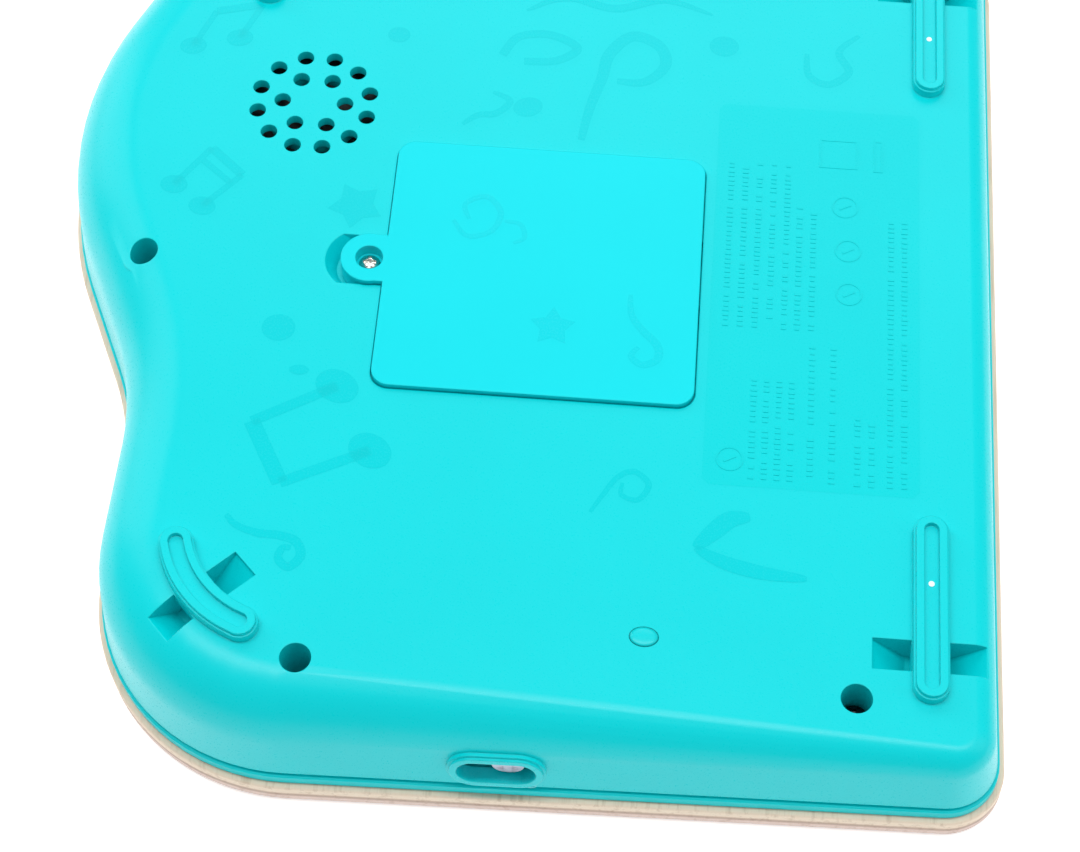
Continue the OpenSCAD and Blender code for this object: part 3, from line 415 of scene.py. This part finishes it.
def cell_sleeve(node, raised_end):
    """Printed sleeve; raised_end is +1 or -1, the way along X that the cell's nub points."""
    material, tree, place = blank("printed_shrink_sleeve_" + node[-1])
    low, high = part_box(node)
    split = add(tree, "ShaderNodeSeparateXYZ", Vector=place)
    span = (low[0], high[0]) if raised_end > 0 else (high[0], low[0])
    along = add(tree, "ShaderNodeMapRange", Value=split.outputs["X"], From_Min=span[0], From_Max=span[1])
    bands = ramp(tree, along.outputs[0], [(0.0, "#c9c9c4"), (0.03, "#1d62b0"), (0.6, "#2a78c8"),
                                          (0.66, "#f2f2ee"), (0.68, "#d8a83c"), (0.97, "#c9c9c4")], True)
    scuff = add(tree, "ShaderNodeTexNoise", Vector=place, Scale=1 / (2 * MM), Detail=4.0)
    gloss = add(tree, "ShaderNodeMapRange", Value=scuff.outputs[0], To_Min=0.16, To_Max=0.34)
    return close(material, tree, add(tree, "ShaderNodeBsdfPrincipled", Base_Color=bands,
                                     Roughness=gloss.outputs[0], IOR=1.5))


mask = solder_mask()

# %% [markdown]
# ## Pieces that keep their CAD shape
#
# What is small or shut inside keeps the CAD node itself, and only gets its finish.

# %% Finishes on CAD nodes
node_finish = {
    "speaker_frame": zinc, "speaker_magnet": ferrite, "speaker_clamp": white_pom,
    "speaker_screws": zinc, "main_board": mask, "sound_chip": black_epoxy,
    "amplifier_chip": black_epoxy, "board_capacitors": cap_sleeve, "board_crystal": nickel,
    "ribbon_connector": ivory_nylon, "main_board_screws": zinc, "switch_board": mask,
    "switch_body": zinc, "switch_lever": white_pom, "switch_board_screws": zinc,
    "touch_board": mask, "touch_pads": copper, "touch_ribbon": film, **wire_pvc}
for name, finish in node_finish.items():
    nodes[name].data.materials.clear()
    nodes[name].data.materials.append(finish)
print("CAD nodes with a finish:", len(node_finish))


def stands_for(node, body, finish, edge, segments=2):
    """A welded copy of a CAD node on the node's body; edge is its bevel in mm, 0 for none."""
    piece = welded(node, node + "_moulded")
    if edge:
        rounded(piece, edge, segments)
    else:
        facet_normals(piece)
    piece.data.materials.clear()
    piece.data.materials.append(finish)
    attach(piece, body)
    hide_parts(node)
    print(piece.name, "triangles:", sum(len(p.vertices) - 2 for p in piece.data.polygons))
    return piece


# %% [markdown]
# ## Shell, frame and door
#
# The mouldings have the right CAD shape, so each is a welded copy. The frame and the switch
# knob get a bevel. The shell and the door get the radius on their edges from the material.

# %% Mouldings
stands_for("rear_housing", "casing", housing_abs, 0)
stands_for("front_frame", "casing", frame_abs, 0.35, 3)
stands_for("battery_cover", "cover", door_abs, 0)
stands_for("switch_knob", "switch_slider", knob_abs, 0.25, 3)

# %% [markdown]
# ## Small parts
#
# The door's screw, its washer and the speaker's cone ride on bodies of their own, so each can
# move. The middle cell lies the other way round. Shapes drawn again here could drift away from
# what the joints move, so these are copies of the CAD ones.

# %% Screws, washer, cells and contacts
stands_for("cover_screw", "cover_screw", nickel, 0.06, 2)
stands_for("cover_screw_washer", "cover_washer", nickel, 0.05)
stands_for("housing_screws", "casing", dark_zinc, 0.06)
stands_for("speaker_cone", "speaker_diaphragm", cone_paper, 0)
for cell, way in (("battery_cell_1", 1), ("battery_cell_2", -1), ("battery_cell_3", 1)):
    stands_for(cell, "casing", cell_sleeve(cell, way), 0.4, 3)
for contact in ("positive_contact", "negative_contact", "link_contact_left", "link_contact_right"):
    stands_for(contact, "casing", nickel, 0)

# %% [markdown]
# ## Plywood board
#
# The board stands a little past the plastic all round. Its edges are only broken with sanding
# paper, so it is drawn as a stack of outlines: two small steps round each edge. The recess on
# its inner side takes the touch board.

# %% Board
def board_ring(inset, z):
    return [(x, y, z) for x, y in outline(inset)]


art_t = 0.03                       # thickness of the printing on the wooden face
recess_in, recess_z = 7.7, 3.4
board = stacked([board_ring(*step) for step in (
    (-board_out + 0.5, art_t), (-board_out + 0.15, 0.2), (-board_out, 0.55), (-board_out, 4.6),
    (-board_out + 0.12, 4.85), (-board_out + 0.4, board_t), (recess_in, board_t), (recess_in, recess_z))],
    "plywood_board")
board.data.shade_smooth()
board.data.set_sharp_from_angle(angle=math.radians(50))
board.data.materials.append(birch)
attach(board, "casing")
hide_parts("front_board")

# %% [markdown]
# ## Marks on the back
#
# Notes, stars and swirls are polished into the mould, so on the shell they are a few hundredths
# of a millimetre proud and smoother than the rest. Each is a flat outline in the back's own
# frame, laid on the shell as a sheet, so that it has a tone and a gloss but no edge.

# %% Flat shapes
def plate(solid, points, proud=0.02, sunk=0.0, place=on_back):
    """Adds a sheet with that outline, in millimetres, to a bmesh, or a closed plate if sunk."""
    top = [solid.verts.new(place(x, y, proud)) for x, y in points]
    solid.faces.new(top)
    if not sunk:
        return
    low = [solid.verts.new(place(x, y, -sunk)) for x, y in points]
    solid.faces.new(low[::-1])
    for k in range(len(points)):
        j = (k + 1) % len(points)
        solid.faces.new((low[k], low[j], top[j], top[k]))


def oval(cx, cy, a, b, turn, count=28):
    t = math.radians(turn)
    return [(cx + a * math.cos(u) * math.cos(t) - b * math.sin(u) * math.sin(t),
             cy + a * math.cos(u) * math.sin(t) + b * math.sin(u) * math.cos(t))
            for u in (math.tau * k / count for k in range(count))]


def bar(a, b, width):
    """Rectangle along the line from a to b."""
    dx, dy = b[0] - a[0], b[1] - a[1]
    reach = math.hypot(dx, dy)
    nx, ny = -dy / reach * width / 2, dx / reach * width / 2
    return [(a[0] - nx, a[1] - ny), (b[0] - nx, b[1] - ny), (b[0] + nx, b[1] + ny), (a[0] + nx, a[1] + ny)]


def star(cx, cy, r, turn, notch):
    """Five points at r, with the corners between them at r times notch."""
    return [(cx + (r if k % 2 == 0 else r * notch) * math.cos(math.radians(turn + 36 * k)),
             cy + (r if k % 2 == 0 else r * notch) * math.sin(math.radians(turn + 36 * k)))
            for k in range(10)]


def curved_path(points, count=10):
    """Smooth run through a few given points (Catmull-Rom)."""
    run = []
    for i in range(len(points) - 1):
        a, b, c, d = (Vector(points[min(max(i + k, 0), len(points) - 1)]) for k in (-1, 0, 1, 2))
        for k in range(count):
            t = k / count
            run.append(0.5 * (2 * b + (c - a) * t + (2 * a - 5 * b + 4 * c - d) * t * t
                              + (3 * b - a - 3 * c + d) * t ** 3))
    return run + [Vector(points[-1])]


def ribbon(solid, points, width, taper=0.25, **kind):
    """A brush stroke: a strip along a curve, widest in its middle."""
    run = curved_path(points)
    left, right = [], []
    for k, p in enumerate(run):
        ahead = run[min(k + 1, len(run) - 1)] - run[max(k - 1, 0)]
        side = Vector((-ahead.y, ahead.x)).normalized()
        f = k / (len(run) - 1)
        w = width / 2 * (taper + (1 - taper) * math.sin(math.pi * f) ** 0.7)
        left.append(p + side * w)
        right.append(p - side * w)
    for k in range(len(run) - 1):
        plate(solid, [tuple(q) for q in (right[k], right[k + 1], left[k + 1], left[k])], **kind)


def beamed_notes(solid, head_a, head_b, tip_a, tip_b, size):
    """Two note heads, their stems and the beam that joins the stems."""
    for head, tip in ((head_a, tip_a), (head_b, tip_b)):
        turn = math.degrees(math.atan2(tip[1] - head[1], tip[0] - head[0]))
        plate(solid, oval(*head, size, size * 0.8, turn - 60), proud=0.02)
        plate(solid, bar(head, tip, size * 0.5), proud=0.016)
    plate(solid, bar(tip_a, tip_b, size * 0.7), proud=0.024)


def as_piece(solid, name, finish, body="casing"):
    bmesh.ops.recalc_face_normals(solid, faces=solid.faces)
    mesh = bpy.data.meshes.new(name)
    solid.to_mesh(mesh)
    solid.free()
    mesh.materials.append(finish)
    piece = new_object(name, mesh)
    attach(piece, body)


# %% [markdown]
# ## Polished marks on the shell
#
# Beamed notes, a star, dots and brush strokes are placed one by one. Sheets that cross stand at
# different heights, so that no two of them lie in one plane.

# %% Polished marks on the shell
marks = bmesh.new()
beamed_notes(marks, (-73.3, 14.7), (-67.1, 10.0), (-67.1, 24.0), (-60.3, 18.0), 2.7)
plate(marks, bar((-68.4, 20.9), (-62.3, 15.9), 1.3), proud=0.028)
beamed_notes(marks, (-36.2, -28.7), (-28.6, -42.0), (-51.0, -37.5), (-44.2, -50.0), 4.3)
plate(marks, star(-37.3, 12.6, 5.6, 48, 0.6))
plate(marks, oval(-48.7, -16.7, 3.2, 3.0, 0))
plate(marks, oval(-43.7, -25.7, 1.9, 1.1, 0))
ribbon(marks, [(-53, -57.3), (-51, -59.3), (-47, -60.6), (-43, -60.8), (-39.8, -61.8), (-38.6, -64.6),
               (-40.5, -67), (-42.5, -65.5), (-42, -63.3), (-40.5, -63.2)], 1.8, 0.5)
ribbon(marks, [(41.5, -50.3), (38, -51), (35, -53.8), (31.8, -57.3)], 3.6, 0.35)
ribbon(marks, [(31.8, -57.3), (37, -59.8), (44, -61.4), (52, -62)], 2.9, 0.3, proud=0.027)
ribbon(marks, [(12.5, -51.5), (14.5, -48), (17, -44), (20, -42.5), (22.8, -45), (21, -48.3), (18, -47.5),
               (18, -45)], 1.2, 0.5)
ribbon(marks, [(-12, 52), (-9, 57), (-2.5, 58), (3, 55), (-1, 51.5), (-7.5, 50.8)], 2.0, 0.9)
ribbon(marks, [(5.3, 32), (6.5, 40), (8.5, 48), (9.6, 54), (14, 59), (19.5, 57), (21, 52), (17, 47.5),
               (11.5, 47.3)], 2.6, 0.5)
ribbon(marks, [(-18.5, 34), (-15.5, 36.5), (-12, 37.2), (-9.5, 40.5), (-13, 42.5)], 1.6, 0.5)
plate(marks, oval(-5.8, 39.3, 3.0, 2.4, 20))
plate(marks, oval(-33.3, 55.5, 2.3, 2.0, 0))
beamed_notes(marks, (-74.5, 49.2), (-65.4, 52.0), (-71.0, 58.5), (-61.8, 61.0), 2.7)
plate(marks, oval(32.7, 58.0, 3.0, 2.6, 0))
ribbon(marks, [(49.5, 57.5), (50, 52), (54, 50), (58, 53.5), (56, 58.5), (60, 63)], 1.8, 0.5)
ribbon(marks, [(-8, 64), (0, 68), (10, 66), (20, 69), (30, 66)], 2.0)
as_piece(marks, "polished_marks", polished_abs)
print("marks made")

# %% [markdown]
# ## Swelling
#
# The back carries one low oval swelling near the lower wall. It could be sculpted into the
# shell. A dome of five rings laid on top leaves the shell as the CAD model has it.

# %% Swelling
swelling = bmesh.new()
swelling_x, swelling_y = 23.6, -75.7
around = 24
rings_of_dome = []
for r, height in ((2.8, -0.02), (2.6, 0.012), (1.9, 0.05), (1.1, 0.08), (0.4, 0.09)):
    ring = []
    for k in range(around):
        a = math.tau * k / around
        ring.append(swelling.verts.new(on_back(swelling_x + r * math.cos(a),
                                               swelling_y + 0.75 * r * math.sin(a), height)))
    rings_of_dome.append(ring)
for low, high in zip(rings_of_dome, rings_of_dome[1:]):
    for k in range(around):
        j = (k + 1) % around
        swelling.faces.new((low[k], low[j], high[j], high[k])).smooth = True
swelling.faces.new(rings_of_dome[-1])
swelling.faces.new(rings_of_dome[0][::-1])
as_piece(swelling, "swelling", housing_abs)

# %% [markdown]
# ## Note panel
#
# Beside the door the shell has a smoother field with cut corners. It could be cut into the
# shell, but a sheet that lies just above it changes the gloss and leaves the shell whole.

# %% Panel field
panel_x, panel_y = (32.4, 72.2), (-44.0, 43.4)
field = bmesh.new()
inset_corner = 1.2
plate(field, [(panel_x[0] + inset_corner, panel_y[0]), (panel_x[1] - inset_corner, panel_y[0]),
              (panel_x[1], panel_y[0] + inset_corner), (panel_x[1], panel_y[1] - inset_corner),
              (panel_x[1] - inset_corner, panel_y[1]), (panel_x[0] + inset_corner, panel_y[1]),
              (panel_x[0], panel_y[1] - inset_corner), (panel_x[0], panel_y[0] + inset_corner)],
      proud=0.012)
as_piece(field, "note_panel", panel_abs)


# %% [markdown]
# ## Rows of strokes
#
# The field carries rows of small raised strokes that hold no words. Geometry Nodes lay short
# bars on a grid, leave some out and give each a random length from a fixed seed, so the rows
# look written without saying anything.

# %% Rows of strokes
def socket(tree, name, kind, default, way="INPUT"):
    item = tree.interface.new_socket(name, in_out=way, socket_type=kind)
    if default is not None:
        item.default_value = default
    return item.identifier


def stroke_rows():
    """Node tree: a grid of points, some dropped at random, each carrying a bar of random length."""
    tree = bpy.data.node_groups.new("stroke_rows", "GeometryNodeTree")
    socket(tree, "Geometry", "NodeSocketGeometry", None)
    ids = {"Across": socket(tree, "Across", "NodeSocketFloat", 0.02),
           "Along": socket(tree, "Along", "NodeSocketFloat", 0.05),
           "Rows": socket(tree, "Rows", "NodeSocketInt", 5),
           "Strokes": socket(tree, "Strokes", "NodeSocketInt", 12),
           "Size": socket(tree, "Size", "NodeSocketFloat", 0.0008),
           "Seed": socket(tree, "Seed", "NodeSocketInt", 3),
           "Finish": socket(tree, "Finish", "NodeSocketMaterial", None)}
    socket(tree, "Geometry", "NodeSocketGeometry", None, "OUTPUT")
    given = tree.nodes.new("NodeGroupInput").outputs
    grid = add(tree, "GeometryNodeMeshGrid", Size_X=given["Across"], Size_Y=given["Along"],
               Vertices_X=given["Rows"], Vertices_Y=given["Strokes"])
    keep = add(tree, "FunctionNodeRandomValue", {"data_type": "BOOLEAN"}, Seed=given["Seed"])
    keep.inputs["Probability"].default_value = 0.88
    points = add(tree, "GeometryNodeMeshToPoints", Mesh=grid.outputs["Mesh"], Selection=keep.outputs[3])
    stroke = add(tree, "GeometryNodeMeshCube", Size=(1, 1, 1))
    length = add(tree, "FunctionNodeRandomValue", {"data_type": "FLOAT_VECTOR"}, Seed=given["Seed"])
    length.inputs["Min"].default_value = (0.9, 0.35, 0.14)
    length.inputs["Max"].default_value = (1.3, 0.85, 0.14)
    size = add(tree, "ShaderNodeVectorMath", {"operation": "SCALE"}, i0=length.outputs[0],
               Scale=given["Size"])
    placed = add(tree, "GeometryNodeInstanceOnPoints", Points=points.outputs[0],
                 Instance=stroke.outputs["Mesh"], Scale=size.outputs[0])
    real = add(tree, "GeometryNodeRealizeInstances", Geometry=placed.outputs[0])
    done = add(tree, "GeometryNodeSetMaterial", Geometry=real.outputs[0], Material=given["Finish"])
    out = tree.nodes.new("NodeGroupOutput")
    tree.links.new(done.outputs[0], out.inputs[0])
    return tree, ids


rows_tree, rows_ids = stroke_rows()


def stroke_block(name, x, y, across, along, rows, strokes, seed):
    """One block of rows, laid on the back round the point x, y."""
    obj = new_object(name, bpy.data.meshes.new(name))
    made = obj.modifiers.new("rows", "NODES")
    made.node_group = rows_tree
    for key, value in (("Across", across * MM), ("Along", along * MM), ("Rows", rows),
                       ("Strokes", strokes), ("Size", 0.95 * MM), ("Seed", seed), ("Finish", panel_abs)):
        made[rows_ids[key]] = value
    finished(obj)
    turn = Matrix.Rotation(slope, 4, "Y")
    obj.data.transform(Matrix.Translation(on_back(x, y, 0.05)) @ turn)
    obj.data.materials.clear()
    obj.data.materials.append(panel_abs)
    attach(obj, "casing")
    print(name, "strokes:", len(obj.data.polygons) // 6)


# name, middle x and y, size across and along, rows, strokes in a row, seed
for block in (("strokes_upper", 40.9, 10, 11.1, 38, 5, 36, 4),
              ("strokes_middle", 50.3, 5, 2.7, 28, 2, 26, 5),
              ("strokes_lower", 44.8, -31.5, 7.1, 21, 4, 20, 7),
              ("strokes_wide", 54, -27.5, 4, 29, 2, 24, 2),
              ("strokes_corner", 62, -35, 2.6, 14, 2, 13, 6),
              ("strokes_edge", 68, -12.5, 2.6, 59, 2, 54, 9)):
    stroke_block(*block)

# %% [markdown]
# ## Rings and frames
#
# Plain rings with a short bar inside, and two plain frames, stand beside the rows of strokes.
# Each is a run of small closed plates, thick enough to catch the light on its side.

# %% Rings and frames beside the rows
rings = bmesh.new()
ring_rise = 0.1                    # above the back, and as deep below it


def band(outer, inner):
    for k in range(len(outer)):
        j = (k + 1) % len(outer)
        plate(rings, [outer[k], outer[j], inner[j], inner[k]], ring_rise, ring_rise)


def box_points(cx, cy, w, h):
    return [(cx + sx * w / 2, cy + sy * h / 2) for sx, sy in ((-1, -1), (1, -1), (1, 1), (-1, 1))]


for x, y in ((57.7, 20), (58.4, 9.7), (58.7, -0.3), (37.3, -38.3)):
    band(oval(x, y, 2.6, 2.6, 0, 32), oval(x, y, 2.2, 2.2, 0, 32))
    plate(rings, bar((x - 1.1, y - 0.6), (x + 1.1, y + 0.6), 0.5), ring_rise, ring_rise)
for x, y, w, h in ((56.3, 32.7, 7.6, 7.0), (64.1, 32.7, 1.9, 7.7)):
    band(box_points(x, y, w, h), box_points(x, y, w - 0.8, h - 0.8))
as_piece(rings, "raised_rings", panel_abs)

# %% [markdown]
# ## Marks on the door
#
# The door has its own star and brush strokes. They are drawn like those on the shell, lifted by
# as much as the door stands proud, and they ride on the door, so they swing with it.

# %% Star and brush strokes on the door
door_proud = 1.0


def on_door(x, y, z=0.0):
    return on_back(x, y, z + door_proud)


door_marks = bmesh.new()
plate(door_marks, star(2.9, -12.9, 4.5, 90, 0.55), place=on_door)
ribbon(door_marks, [(17.2, -4.5), (17.6, -9), (20, -12.5), (22.8, -15.5), (23, -18.5), (20.3, -20),
                    (18, -18.3), (19.3, -16.2)], 1.6, 0.5, place=on_door)
ribbon(door_marks, [(-18, 10), (-15, 6.5), (-10.5, 8), (-9, 12.5), (-12, 16), (-16, 14), (-15, 10.5)],
       1.2, 0.6, place=on_door)
ribbon(door_marks, [(-8, 10.5), (-5, 10), (-4, 7), (-6, 5.5)], 1.0, 0.6, place=on_door)
as_piece(door_marks, "door_marks", door_mark_abs, body="cover")

# %% [markdown]
# ## Gate marks
#
# The two feet by the straight edge were filled through a pin gate in their groove. Breaking
# the gate off leaves a small whitened disc.

# %% Gate marks
foot_x, foot_mid_y = 74.0, 66.5
foot_groove = 1.6                  # floor of the groove above the back
gate_off, gate_r = 4.5, 0.55       # the gate is a little off the foot's middle
gates = bmesh.new()
for s in (-1, 1):
    plate(gates, oval(foot_x, s * (foot_mid_y - gate_off), gate_r, gate_r, 0, 20),
          proud=foot_groove + 0.08, sunk=0.3 - foot_groove)
as_piece(gates, "gate_marks", gate_abs)

# %% [markdown]
# ## Switch signs
#
# Below the switch the wall carries three small raised signs: loud, quiet and off, drawn as two
# waves, one wave and a flat ring. They are painted a paler teal than the wall, as a painted
# highlight on their raised edges.

# %% Switch signs
switch_x = -1.4
wall_lean = math.atan(skirt_draft / skirt_h)


def on_wall(x, z, out=0.0):
    """Point on the lower side wall: x and height above the frame, out is proud of the wall."""
    lean_in = skirt_draft * (z - skirt_z) / skirt_h
    return Vector((x, -half_l + lean_in - out * math.cos(wall_lean), z + out * math.sin(wall_lean))) * MM


signs = bmesh.new()


def arc_line(cx, cz, a, b, start, end, width=0.28, count=14):
    for k in range(count):
        t, u = (math.radians(start + (end - start) * (k + d) / count) for d in (0, 1))
        plate(signs, [(cx + (a + width) * math.cos(t), cz + (b + width) * math.sin(t)),
                      (cx + (a + width) * math.cos(u), cz + (b + width) * math.sin(u)),
                      (cx + a * math.cos(u), cz + b * math.sin(u)),
                      (cx + a * math.cos(t), cz + b * math.sin(t))], proud=0.3, sunk=0.2, place=on_wall)


sign_z = 8.9
loud_x, quiet_x, off_x = switch_x - 5.6, switch_x + 0.2, switch_x + 5.8
for wave_r in (0.7, 1.3):
    arc_line(loud_x, sign_z - 0.2, wave_r, wave_r, 20, 160)
arc_line(quiet_x, sign_z - 0.2, 0.7, 0.7, 20, 160)
for x in (loud_x, quiet_x):
    plate(signs, oval(x, sign_z - 0.35, 0.24, 0.24, 0, 12), proud=0.3, sunk=0.2, place=on_wall)
arc_line(off_x, sign_z + 0.1, 0.9, 0.55, 0, 360, count=24)
as_piece(signs, "switch_signs", sign_painted_highlight_abs)

# %% [markdown]
# ## Printing on the wooden face
#
# The playing side is underneath. It is not known from this side, so it carries plain shapes
# over the touch pads: seven coloured keys and four round drums, printed straight on the wood.

# %% Printed keys and drums
ink = [moulded("ink_" + n, a, b, 0.45, grain=0.25, depth=0.006) for n, a, b in (
    ("red", "#cf3a33", "#dc4a40"), ("orange", "#e58a2c", "#ee983c"), ("yellow", "#eec83c", "#f4d250"),
    ("green", "#57a84c", "#66b45a"), ("teal", "#2aa8ac", "#3ab4b6"), ("blue", "#2f6db4", "#3f7cc0"),
    ("violet", "#7a55a4", "#8864b0"))]
key_pitch, key_w, key_l, key_left, key_corner = 19, 16, 54, 6, 3
drum_x, drum_pitch, drum_r = -38, 26, 9
print_proud, print_sunk = art_t * 0.3, 0.02


def on_wood(x, y, z=0.0):
    """Point on the wooden face, z towards the table."""
    return Vector((x, y, art_t * 0.5 - z)) * MM


def rounded_box(x0, x1, y0, y1, r, count=6):
    points = []
    corners = ((x1 - r, y1 - r, 0), (x0 + r, y1 - r, 90), (x0 + r, y0 + r, 180), (x1 - r, y0 + r, 270))
    for cx, cy, start in corners:
        for k in range(count + 1):
            a = math.radians(start + 90 * k / count)
            points.append((cx + r * math.cos(a), cy + r * math.sin(a)))
    return points


for k, tint in enumerate(ink):
    keys = bmesh.new()
    mid = (k - 3) * key_pitch
    plate(keys, rounded_box(key_left, key_left + key_l, mid - key_w / 2, mid + key_w / 2, key_corner),
          proud=print_proud, sunk=print_sunk, place=on_wood)
    if k < 4:
        plate(keys, oval(drum_x, (k - 1) * drum_pitch, drum_r, drum_r, 0, 48),
              proud=print_proud, sunk=print_sunk, place=on_wood)
    as_piece(keys, "printed_key_%d" % (k + 1), tint)

# %% [markdown]
# ## Floor
#
# A plain white sweep that glows a little, so that it stays white under soft light. Stronger
# lamps would whiten it too, but they would also wash out the plastic.

# %% Floor
floor_mesh = bpy.data.meshes.new("floor")
reach = 3.0                        # metres from the middle to each side
floor_mesh.from_pydata([(-reach, -reach, 0), (reach, -reach, 0), (reach, reach, 0), (-reach, reach, 0)],
                       [], [(0, 1, 2, 3)])
floor = new_object("floor", floor_mesh)
floor_white, floor_tree, floor_place = blank("white_paper_sweep")
fleck = add(floor_tree, "ShaderNodeTexNoise", Vector=floor_place, Scale=1 / (40 * MM))
floor_shade = ramp(floor_tree, fleck.outputs[0], [(0.0, "#fdfdfd"), (1.0, "#ffffff")])
close(floor_white, floor_tree, add(floor_tree, "ShaderNodeBsdfPrincipled", Base_Color=floor_shade,
                                   Roughness=0.9, Emission_Color=(1, 1, 1, 1), Emission_Strength=0.42))
floor_mesh.materials.append(floor_white)

# %% [markdown]
# ## Light
#
# A strip straight overhead runs a bright line along the rounded edge. Soft boxes stand behind
# and at the sides, and a white world fills the shadows. Small lamps would draw hard shadows.

# %% Light
world = bpy.data.worlds.new("studio")
bpy.context.scene.world = world
world.use_nodes = True
world.node_tree.nodes["Background"].inputs["Color"].default_value = (1, 1, 1, 1)
world.node_tree.nodes["Background"].inputs["Strength"].default_value = 0.34


def soft_box(name, place, aim, size, power):
    lamp = bpy.data.lights.new(name, "AREA")
    lamp.shape = "RECTANGLE"
    lamp.size, lamp.size_y = size
    lamp.energy = power
    obj = bpy.data.objects.new(name, lamp)
    obj.location = place
    obj.rotation_euler = (Vector(aim) - Vector(place)).to_track_quat("-Z", "Y").to_euler()
    bpy.context.scene.collection.objects.link(obj)


# name, where it stands, what it faces, width and length in metres, watts
soft_box("overhead", (0, 0, 1.0), (0, 0, 0), (1.1, 0.26), 6.4)
soft_box("left_back", (-0.75, 0.5, 0.5), (0, 0, 0.02), (0.5, 0.9), 2.6)
soft_box("back_fill", (0.1, 0.9, 0.9), (0, 0, 0.02), (0.9, 0.6), 3.0)
soft_box("right", (0.8, -0.1, 0.55), (0, 0, 0.02), (0.4, 0.8), 1.2)

# %% [markdown]
# ## Camera
#
# A long lens looks down on the back from beyond the lower wall, turned a few degrees.

# %% Camera
camera_data = bpy.data.cameras.new("camera")
camera_data.lens = 83.75
camera_data.sensor_width = 36
camera_data.clip_start = 0.01
camera = bpy.data.objects.new("camera", camera_data)
camera.location = (0.0371, -0.26965, 0.42526)
camera.rotation_euler = Euler([math.radians(a) for a in (30.767, 2.466, 4.315)])
bpy.context.scene.collection.objects.link(camera)
bpy.context.scene.camera = camera
bpy.context.scene.view_settings.view_transform = "Standard"
